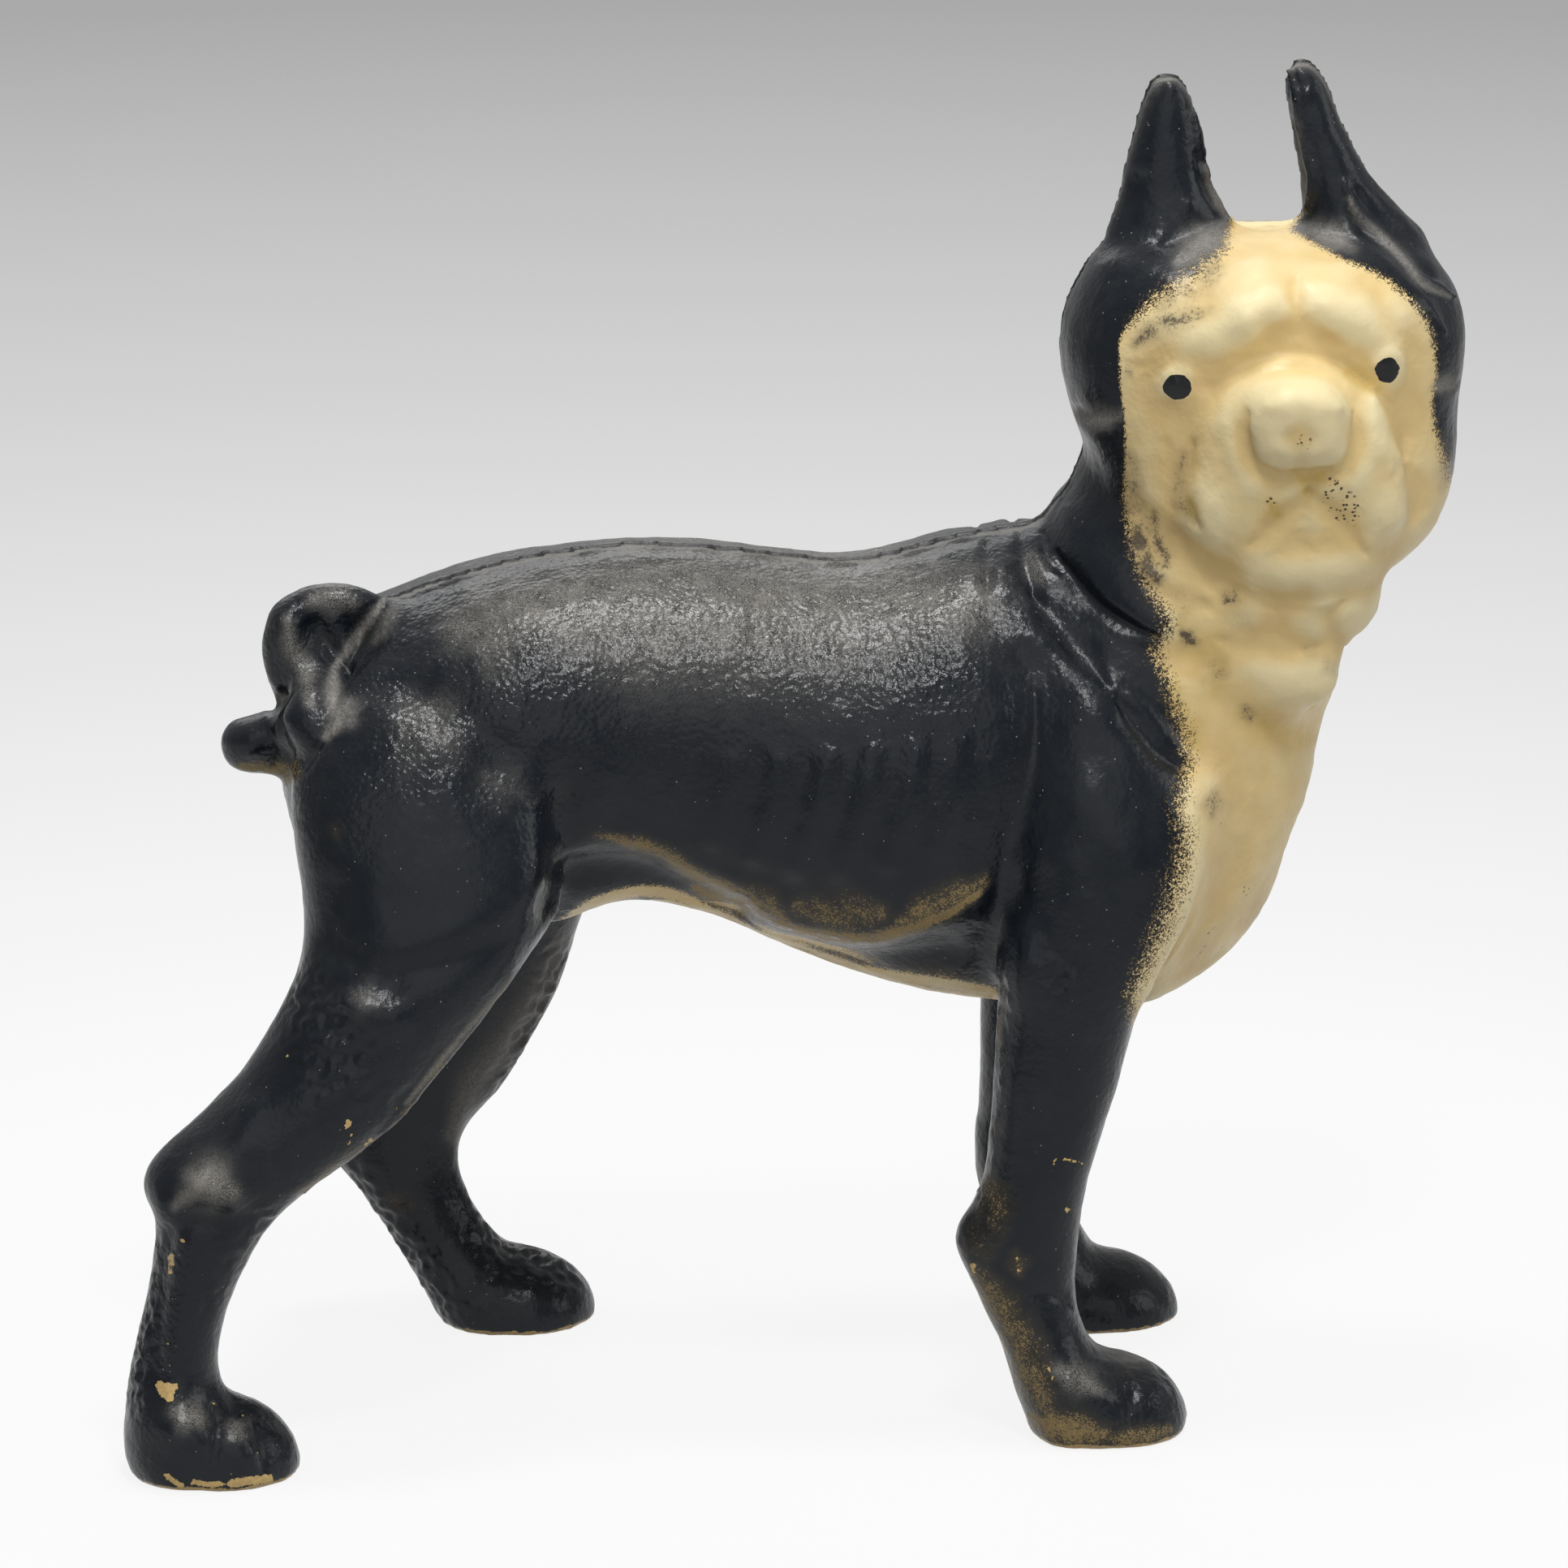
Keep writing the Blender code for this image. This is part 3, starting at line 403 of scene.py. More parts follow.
# Forms that grow or sink all round, not only where they face the camera
ROUND_FORMS = {"right": (
    (3.6, 1.3, (298, 914), (320, 908), (346, 900), (370, 894)),
    (2.6, 1.0, (370, 904), (380, 880), (386, 856)),
    (3.0, 0.7, (1531, 500), (1526, 545), (1543, 592)),
    (3.0, 0.6, (1679, 502), (1683, 545), (1668, 590)),
    (3.0, 0.5, (345, 748), (375, 734), (410, 730), (440, 738)),
)}
BROAD_FORMS = {"right": (
    # The face: eye bulges in their sockets, brow, stop, muzzle, chin
    (7.0, -0.8, (1458, 480)),
    (4.6, 1.0, (1454, 474)),
    (6.5, -0.7, (1704, 462)),
    (4.4, 0.9, (1709, 454)),
    (3.2, 0.55, (1538, 388), (1550, 380)),
    (2.6, 0.4, (1575, 366)),
    (3.2, 0.6, (1597, 352), (1597, 376)),
    (3.4, 0.55, (1618, 362), (1640, 370)),
    (2.6, 0.35, (1672, 380)),
    (3.6, 0.45, (1560, 330), (1590, 322)),
    (3.6, 0.8, (1468, 428), (1500, 412), (1530, 400)),
    (3.0, 0.6, (1650, 400), (1684, 412), (1706, 424)),
    (2.6, -0.5, (1492, 472), (1515, 450), (1546, 434), (1575, 418)),
    (3.0, -0.7, (1570, 414), (1604, 406), (1632, 416)),
    (2.6, -0.6, (1632, 422), (1654, 446), (1682, 468)),
    (9.0, 1.6, (1540, 462), (1604, 440), (1662, 464)),
    (5.5, 0.8, (1506, 500), (1540, 474), (1604, 456), (1660, 474), (1688, 500)),
    (6.0, 0.8, (1500, 530), (1496, 580)),
    (2.0, -0.3, (1538, 498), (1535, 545), (1552, 584), (1606, 600), (1652, 586), (1671, 548), (1668, 504)),
    (6.5, 0.6, (1510, 610), (1535, 640)),
    (6.0, 0.6, (1690, 620), (1690, 580)),
    (6.5, 1.5, (1556, 708), (1610, 718), (1662, 706)),
    (7.0, 1.8, (1556, 742), (1612, 750), (1658, 736)),
    (4.0, 0.5, (1480, 640), (1500, 680), (1540, 700)),
    (3.5, 0.6, (1712, 650), (1690, 690)),
    # The throat and its folds
    (6.0, 1.1, (1530, 830), (1575, 850), (1612, 846)),
    (4.5, 0.7, (1540, 755), (1575, 765), (1605, 762)),
    (3.0, 0.7, (1630, 735), (1650, 750)),
    (3.5, -0.9, (1505, 858), (1540, 884), (1580, 902), (1634, 890)),
    # Chest: the breastbone, and the hollow between chest and arm filled
    (4.5, 0.9, (1614, 946), (1580, 1035), (1547, 1090), (1495, 1152)),
    (2.4, -0.7, (1596, 1010), (1572, 1075), (1530, 1135)),
    (5.0, 1.7, (1486, 975), (1484, 1040), (1466, 1100), (1438, 1158), (1414, 1212)),
    # Haunch and hind leg
    (3.6, -1.1, (490, 1203), (560, 1186), (624, 1155), (676, 1118)),
    (3.6, 1.4, (430, 1236), (452, 1248), (478, 1256)),
    (2.6, -0.8, (404, 1222), (424, 1262), (436, 1300)),
    (4.0, -0.8, (413, 1100), (405, 1157), (440, 1192), (474, 1213)),
    (3.0, 0.9, (311, 1370), (288, 1414), (245, 1455), (207, 1492)),
    (3.4, 1.5, (250, 1462), (268, 1470), (284, 1478)),
    (3.2, -1.3, (240, 1500), (275, 1502), (310, 1496)),
    (2.6, -0.7, (222, 1420), (226, 1450), (212, 1475)),
    (1.8, -0.7, (208, 1520), (198, 1560), (194, 1640), (191, 1705)),
    (2.6, 0.5, (232, 1530), (228, 1600), (224, 1680)),
    (4.6, 2.4, (222, 1762), (240, 1776)),
    (3.8, 1.8, (290, 1778), (296, 1792)),
    (4.0, 0.5, (345, 1770), (355, 1790)),
    # The tail's thick lower lobe, the run down to it and the hollow between its loop and the rump
    (3.0, 2.4, (358, 772), (360, 800), (374, 832), (383, 860), (368, 886), (340, 902), (312, 912)),
    (3.4, -3.8, (440, 776), (424, 792), (409, 809)),
    (2.8, -2.4, (386, 774), (400, 796)),
    (1.6, -1.9, (468, 746), (440, 780), (413, 822), (406, 860), (392, 905), (370, 938)),
    (1.7, -1.0, (330, 862), (342, 866), (352, 862)),
    # Front leg
    (4.2, 1.8, (1322, 1712), (1348, 1722)),
    (3.0, 0.6, (1405, 1700), (1420, 1725)),
    (4.0, -0.7, (1385, 1690), (1380, 1735)),
), "both": (
    # Collar, neck and shoulder
    (4.0, 0.8, (1325, 640), (1352, 690), (1385, 735), (1425, 772)),
    (3.0, 0.5, (1262, 672), (1296, 722), (1330, 762), (1366, 796)),
    (4.5, 0.5, (1373, 855), (1405, 890), (1437, 928)),
    (6.0, -1.1, (1222, 775), (1245, 797), (1268, 815)),
    (5.0, 0.8, (1341, 983), (1373, 1030), (1392, 1060)),
    (5.0, 0.5, (1180, 700), (1195, 740), (1200, 790)),
    (5.0, 0.6, (1305, 800), (1330, 840), (1345, 880)),
    (4.5, -0.7, (1274, 1100), (1286, 1140), (1302, 1180)),
    # Rib margin, the hollow under it, and the ribs
    (3.2, 0.8, (778, 1036), (816, 1050), (850, 1073), (887, 1090), (925, 1103), (980, 1138), (1026, 1146),
     (1077, 1152), (1123, 1138), (1165, 1124), (1207, 1100)),
    (4.2, -1.7, (712, 1075), (745, 1066), (785, 1064), (842, 1092), (900, 1128)),
    (4.2, -1.5, (985, 1172), (1040, 1182), (1090, 1180), (1144, 1172), (1212, 1160)),
    (2.6, 0.7, (905, 940), (893, 990), (880, 1030)),
    (2.6, 0.9, (960, 940), (950, 1000), (932, 1050)),
    (2.6, 1.0, (1020, 935), (1005, 1005), (980, 1065)),
    (2.6, 1.0, (1075, 930), (1062, 1000), (1036, 1070)),
    (2.6, 0.9, (1128, 925), (1118, 990), (1094, 1060)),
    (2.6, 0.7, (1175, 925), (1170, 985), (1152, 1045)),
    # Haunch and hind leg
    (4.5, -0.9, (420, 835), (474, 851), (566, 880), (606, 928), (597, 970)),
    (6.0, 1.0, (498, 888), (530, 895), (560, 910)),
    (4.0, 0.5, (604, 966), (635, 968), (665, 974)),
    (3.4, -1.1, (694, 985), (689, 1042), (697, 1100), (694, 1135)),
), "far": (
    # The edge of the far hind leg
    (1.8, 0.8, (655, 1222), (612, 1290), (577, 1340), (556, 1400), (561, 1455), (592, 1515)),
)}
FINE_FORMS = {"right": (
    # The nose's flat front, the brow's bumps, the crease over the muzzle, and the nose's top and corners
    (5.2, -0.6, (1590, 540), (1616, 541)),
    (3.0, 0.5, (1563, 374)),
    (3.0, 0.45, (1632, 375)),
    (3.2, 0.35, (1536, 393)),
    (3.4, 0.3, (1684, 406)),
    (2.0, -0.45, (1598, 346), (1598, 388)),
    (1.5, -0.55, (1490, 478), (1518, 456), (1550, 441), (1592, 433), (1628, 440), (1657, 453), (1682, 470)),
    (2.6, 0.45, (1569, 505), (1604, 499), (1640, 507)),
    (2.2, 0.5, (1562, 556)),
    (2.2, 0.5, (1642, 558)),
    # Muzzle and cheeks
    (2.8, -0.7, (1470, 548), (1458, 580), (1462, 612), (1478, 648)),
    (1.6, -0.3, (1461, 618), (1466, 634), (1476, 646)),
    (2.6, -0.4, (1436, 545), (1440, 585), (1442, 625)),
    (2.0, -0.6, (1694, 482), (1708, 508), (1721, 538), (1729, 562)),
    (2.6, 0.4, (1684, 500), (1700, 528), (1710, 556), (1711, 580)),
    (2.6, -0.6, (1734, 580), (1744, 610), (1742, 640)),
    (1.2, -1.0, (1588, 582), (1614, 586), (1638, 576)),
    (1.5, -0.5, (1545, 512), (1538, 545), (1552, 576), (1590, 592)),
    (1.5, -0.4, (1661, 512), (1668, 545), (1657, 576), (1632, 590)),
    (1.1, -0.6, (1613, 586), (1614, 612)),
    (1.7, -0.6, (1613, 607), (1596, 626), (1570, 648), (1542, 668)),
    (1.6, -0.5, (1613, 607), (1634, 626), (1658, 650), (1678, 676)),
    (1.8, 0.35, (1606, 632), (1588, 652), (1562, 674)),
    (3.0, 0.6, (1618, 640), (1618, 668)),
    (2.8, -0.3, (1500, 712), (1540, 728), (1602, 740), (1645, 734), (1690, 712), (1722, 694)),
    (1.6, -0.6, (1646, 732), (1634, 756), (1641, 781), (1653, 796)),
    (2.2, -0.5, (1500, 788), (1546, 800), (1582, 806), (1617, 798)),
    (2.4, 0.5, (1412, 704), (1450, 718), (1490, 734)),
    (2.2, -0.6, (1412, 720), (1448, 734), (1492, 752)),
    (0.8, -0.35, (1387, 448), (1408, 452), (1430, 447)),
    (1.2, 0.25, (1434, 466), (1444, 458), (1458, 456), (1472, 464)),
    (1.2, 0.22, (1692, 448), (1702, 440), (1714, 438), (1726, 446)),
    # Ears and hood
    (1.0, 1.3, (1592, 90), (1600, 130), (1604, 160), (1611, 195), (1618, 222), (1613, 258)),
    (1.2, 0.8, (1598, 88)),
    (1.0, 0.8, (1610, 116)),
    (1.4, 0.6, (1436, 104), (1450, 110)),
    (1.1, 0.7, (1402, 215)),
    (1.0, 0.7, (1466, 250)),
    (1.0, 0.6, (1486, 202), (1490, 216)),
    (1.8, -0.7, (1590, 150), (1597, 190), (1604, 235)),
    (1.0, 0.9, (1656, 222), (1669, 256), (1694, 281), (1722, 305), (1747, 337), (1771, 352), (1790, 367)),
    (2.2, -1.0, (1672, 235), (1700, 272), (1735, 308), (1765, 340)),
    (1.5, -0.7, (1660, 262), (1690, 293), (1726, 326), (1760, 362)),
    (1.5, 0.6, (1668, 290), (1700, 312), (1735, 345), (1765, 385), (1780, 410)),
    (0.9, 0.8, (1470, 140), (1480, 175), (1490, 205), (1500, 235), (1511, 264)),
    (1.4, -0.6, (1476, 190), (1487, 222), (1497, 252)),
    (1.6, 0.8, (1450, 318), (1470, 300), (1492, 288), (1514, 272)),
    (1.8, -0.6, (1432, 300), (1458, 286), (1490, 274)),
    (1.2, -0.6, (1320, 500), (1345, 512), (1378, 512)),
    (1.6, 0.5, (1322, 520), (1345, 530), (1376, 530)),
    (1.2, -0.5, (1764, 480), (1780, 474), (1794, 474)),
    (0.6, -0.6, (1520, 279), (1555, 281), (1592, 278)),
    # Casting flash along the legs, and paw creases
    (0.8, 1.0, (712, 1134), (666, 1173), (624, 1219), (589, 1257), (563, 1284), (510, 1349), (476, 1393),
     (441, 1427), (376, 1470)),
    (0.9, 1.0, (1233, 1222), (1229, 1264), (1217, 1326), (1209, 1392), (1205, 1467)),
    (1.1, -0.7, (1262, 1598), (1290, 1594), (1308, 1599), (1320, 1609)),
    (1.4, -0.8, (262, 1732), (263, 1765), (261, 1800)),
    (1.4, -0.6, (312, 1758), (320, 1785), (324, 1812)),
    (1.0, 0.35, (1352, 1676), (1385, 1680), (1422, 1677)),
), "both": (
    # Neck folds and shoulder creases
    (1.3, -1.5, (1300, 680), (1316, 704), (1340, 734), (1368, 758), (1400, 776), (1430, 786)),
    (1.3, -0.9, (1213, 670), (1216, 698), (1215, 730)),
    (1.4, -1.0, (1256, 655), (1262, 689), (1274, 724), (1285, 742)),
    (1.1, -0.8, (1285, 655), (1291, 683), (1309, 708)),
    (2.4, -0.9, (1272, 730), (1300, 770), (1340, 815), (1362, 845)),
    (1.8, -1.2, (1375, 862), (1400, 893), (1428, 928), (1458, 948)),
    (2.2, 0.5, (1392, 855), (1416, 888), (1444, 920), (1470, 936)),
    (1.6, -0.6, (1275, 850), (1276, 890), (1272, 951), (1256, 1014), (1240, 1062), (1230, 1110),
     (1226, 1160), (1232, 1215)),
)}
FINE_ENDS = 0.35

# The nose is a button with a flat top: its outline, how far it stands out and how soft its edge is
NOSE_OUTLINE = (
    (1562, 496), (1590, 490), (1625, 491), (1646, 499), (1660, 531), (1649, 566), (1606, 582), (1560, 570),
    (1544, 531),
)
NOSE_HEIGHT = 0.4
NOSE_EDGE = 1.2
NOSE_FACING = 0.3

# Lumps of the casting: size and height in millimetres. They grow with the grain, and are even on the face.
CAST_LUMPS = ((14.0, 0.28), (5.0, 0.16), (2.6, 0.08), (1.7, 0.06))
LUMPS_PLAIN = 0.4
LUMPS_BY_GRAIN = 0.8
FACE_LUMPS = 1.1
ROUGH_PATCHES = {"right": (
    (3.6, 0.55, (1296, 1200), (1308, 1208)),
    (5.5, 0.6, (385, 1236), (405, 1280), (412, 1325)),
    (7.0, 0.25, (440, 1250), (470, 1330)),
    (3.0, 0.45, (180, 1520), (172, 1620), (168, 1720)),
    (3.0, 0.3, (330, 1500), (250, 1600)),
    (4.0, 0.22, (1380, 1690), (1430, 1700)),
    (2.0, 0.4, (1233, 1222), (1217, 1326), (1205, 1467)),
), "far": (
    (3.0, 0.4, (430, 1440), (480, 1500), (510, 1560), (534, 1606)),
    (6.0, 0.3, (520, 1540), (560, 1600), (640, 1570)),
    (3.0, 0.6, (690, 1180), (668, 1240), (636, 1310), (628, 1345)),
    (4.0, 0.5, (600, 1500), (700, 1560)),
)}
ROUGH_SIZE = 1.9
ROUGH_SWING = 1.6
ROUGH_LEAST = 0.01
ROUGH_SEED = 9
NOISE_STEPS = (7.3, 3.1, 5.7)

# How strongly the pebbled casting shows, and where it does so more or less
GRAIN_BASE = 0.45
GRAIN_LEAST = 0.05
GRAIN_PATCHES = {"both": (
    (22.0, 0.65, (520, 800), (700, 780), (900, 800), (1080, 800)),
    (10.0, 0.35, (430, 950), (520, 900), (640, 950)),
    (9.0, -0.4, (800, 1060), (950, 1070), (1100, 1080)),
    (12.0, -0.3, (450, 1130), (560, 1130)),
    (10.0, -0.3, (1330, 1000), (1370, 1100)),
), "right": (
    (26.0, -0.27, (1580, 380), (1580, 560), (1560, 760)),
    (8.0, -0.25, (1290, 1350), (1300, 1500)),
    (8.0, 0.3, (1400, 1700), (1350, 1760)),
    (6.0, 0.4, (190, 1560), (180, 1700)),
)}

# The parting line in millimetres: its flash, a broken second ridge to the right of it with a valley between
# them, and the step up to the left half
FLASH_HEIGHT, FLASH_WIDTH = 0.40, 0.8
SECOND_RIDGE, SECOND_WIDTH = 0.45, 0.8
SECOND_AWAY = 3.2
VALLEY_DEPTH, VALLEY_WIDTH = 0.6 * SECOND_RIDGE, 0.7
PARTING_STEP, STEP_WIDTH = 0.45, 3.0
# How the flash, the second ridge's path and its height wander along the casting: size in millimetres, seed,
# middle, swing, least and most
FLASH_WANDER = (5.0, 20, 0.7, 1.6, 0.1, 1.7)
PATH_WANDER = (11.0, 21, 0.0, 1.1, -2.0, 2.0)
RIDGE_WANDER = (7.0, 22, 0.5, 2.2, 0.0, 1.5)
SEAM_REACH = 9 * MM
HALF_GAP = 0.01 * MM
SEAM_FACE = 0.45 * MM

# The outline of face, throat and chest in pixels. Each row ends with the edge's softness, in millimetres.
FACE_PAINT = (
    (1518, 262, 1.0), (1508, 305, 3.5), (1476, 330, 4.5), (1448, 348, 4.5), (1420, 369, 4.0),
    (1399, 390, 3.5), (1382, 411, 1.6), (1378, 425, 0.7), (1380, 477, 0.7), (1386, 520, 0.7),
    (1386, 555, 1.0), (1384, 618, 1.6), (1389, 647, 3.0), (1396, 682, 3.0), (1408, 716, 3.5),
    (1440, 765, 4.0), (1427, 790, 5.0), (1424, 811, 4.5), (1437, 839, 4.5), (1446, 871, 4.5),
    (1459, 906, 4.5), (1462, 938, 4.5), (1456, 967, 5.0), (1450, 999, 5.0), (1458, 1030, 5.5),
    (1454, 1062, 6.0), (1446, 1098, 6.5), (1432, 1140, 6.5), (1412, 1185, 5.5), (1392, 1225, 4.0),
    (1396, 1262, 3.0), (1500, 1250, 3.0), (1680, 1000, 3.0), (1700, 850, 3.0), (1850, 700, 3.0),
    (1840, 620, 3.0), (1790, 590, 3.5), (1781, 562, 3.0), (1771, 531, 2.0), (1766, 510, 1.4),
    (1766, 492, 1.4), (1770, 464, 1.4), (1769, 430, 1.6), (1760, 397, 2.0), (1739, 369, 2.0),
    (1711, 344, 2.0), (1680, 328, 1.6), (1659, 321, 1.4), (1631, 305, 1.6), (1592, 284, 1.6),
    (1606, 262, 1.2),
)
FACE_OUTLINE = tuple(row[:2] for row in FACE_PAINT)


def lump_noise(points, size, seed):
    shift = Vector([seed * step for step in NOISE_STEPS])
    return np.array([noise.noise(Vector(p) / size + shift) for p in points / MM])


def wandering(points, size, seed, middle, swing, least, most):
    return np.clip(middle + swing * lump_noise(points, size, seed), least, most)


def bell(offset, width):
    return np.exp(-((offset / width) ** 2))


def seam_lift(looks, places):
    """The flash of the parting line, the ridge and valley beside it, and the step up to the left half."""
    y = looks.co[places, 1] / MM
    along = looks.co[places] * (1, 0, 1)
    up = np.clip(looks.normals[places, 2], 0, 1)
    bend = wandering(along, *PATH_WANDER)
    flash = FLASH_HEIGHT * wandering(along, *FLASH_WANDER) * bell(y, FLASH_WIDTH)
    second = SECOND_RIDGE * wandering(along, *RIDGE_WANDER) * up * bell(y + SECOND_AWAY + bend, SECOND_WIDTH)
    valley = VALLEY_DEPTH * up * bell(y + SECOND_AWAY / 2 + bend / 2, VALLEY_WIDTH)
    step = PARTING_STEP * up * (y > 0) * bell(y, STEP_WIDTH)
    return flash + second - valley + step


def soften(looks):
    """Melts the creases in the softened zones, away from the seam."""
    held = SMOOTHING * off_seam(looks.co)
    share = held * np.maximum.reduce(list(strokes(looks, SOFTENED, facing=ZONE_FACING)))
    co = smoothed(looks.co, looks.edges, share, SOFT_PASSES)

    melt = np.zeros(len(co))
    for middle, reach in MELTED:
        away = np.linalg.norm((np.abs(looks.co / MM) - middle) / reach, axis=1)
        melt = np.maximum(melt, eased((MELT_START - away) / MELT_EASE))
    set_co(looks.mesh, smoothed(co, looks.edges, held * melt * looks.shown, MELT_PASSES))


def grain_share(looks):
    """How strongly the pebbled casting shows through the enamel."""
    return np.clip(GRAIN_BASE + sum(strokes(looks, GRAIN_PATCHES, facing=ZONE_FACING)), GRAIN_LEAST, 1)


def sculpt(looks):
    """Moves the skin's points along their normals by all the strokes, lumps and the parting flash."""
    lift = sum(strokes(looks, ROUND_FORMS, facing=0))
    lift += sum(strokes(looks, BROAD_FORMS))
    lift += sum(strokes(looks, FINE_FORMS, ends=FINE_ENDS))
    pixels, faces, counts = looks.seen("right")
    nose_line = curve_through(NOSE_OUTLINE + NOSE_OUTLINE[:1])
    nose = eased(0.5 + zone_distance(pixels, nose_line) / NOSE_EDGE / 2)
    lift += NOSE_HEIGHT * nose * counts * np.clip(faces / NOSE_FACING, 0, 1)

    shown = np.flatnonzero(looks.shown)
    calm = LUMPS_PLAIN + LUMPS_BY_GRAIN * grain_share(looks)[shown]
    face_near = zone_distance(looks.near[shown], FACE_OUTLINE) > 0
    calm[face_near & looks.right[shown]] = FACE_LUMPS
    for index, (size, height) in enumerate(CAST_LUMPS):
        lift[shown] += height * calm * lump_noise(looks.co[shown], size, index)
    rough = sum(strokes(looks, ROUGH_PATCHES))
    pitted = np.flatnonzero(rough > ROUGH_LEAST)
    lift[pitted] += rough[pitted] * lump_noise(looks.co[pitted], ROUGH_SIZE, ROUGH_SEED) * ROUGH_SWING
    near_seam = np.flatnonzero(looks.shown & (np.abs(looks.co[:, 1]) < SEAM_REACH))
    lift[near_seam] += seam_lift(looks, near_seam)

    co = looks.co + looks.normals * (lift * MM)[:, None]
    co[:, 2] = np.maximum(co[:, 2], 0.0)
    side = np.where(looks.right, -1.0, 1.0)
    co[:, 1] = np.maximum(co[:, 1] * side, HALF_GAP) * side
    co[:, 1] = np.where(np.abs(looks.co[:, 1]) < SEAM_FACE, HALF_GAP * side, co[:, 1])
    set_co(looks.mesh, co)


# Paint and wear

# The edge of the paint takes its softness from the nearest rows, blended over this many square pixels
SOFTNESS_BLEND = 60.0
# In millimetres. Above the chest the cream ends a little to the left of the seam, and on what faces left.
# Below the crown its edge runs down across the left side, in slow waves of this height, length and start.
CHEST_TOP = 158.0
HEAD_EDGE, HEAD_EASE = 3, 5
LEFT_FACING, LEFT_EASE = -0.25, 0.5
CROWN = 195.0
EDGE_START = CHEST_TOP + 10
EDGE_FALL = 1.7
EDGE_WAVES = (3, 4, 1)
EDGE_FADE = 7.0
# The pale rim along the belly's edge
RIM_WIDTH = 1.4
RIM_LINE = (
    (686, 1147), (715, 1124), (744, 1109), (790, 1098), (840, 1106), (890, 1134), (960, 1166), (1030, 1188),
    (1100, 1203), (1170, 1213), (1222, 1223),
)
# Cream low on the figure, in millimetres: ranges of x and z, reach from the seam and the ease at its end
RIM_PLACE = ((-52, 48), (70, 118), 34, 4)
BELLY_PLACE = ((-42, 92), (72, 100), 22, 6)
# Surfaces that face down by these shares are painted, with the softness
BELLY_FACING = (0.72, 0.2)
CHIN_FACING = (0.4, 0.3)
CHIN_X = 74
CHIN_Z = (128, 172)

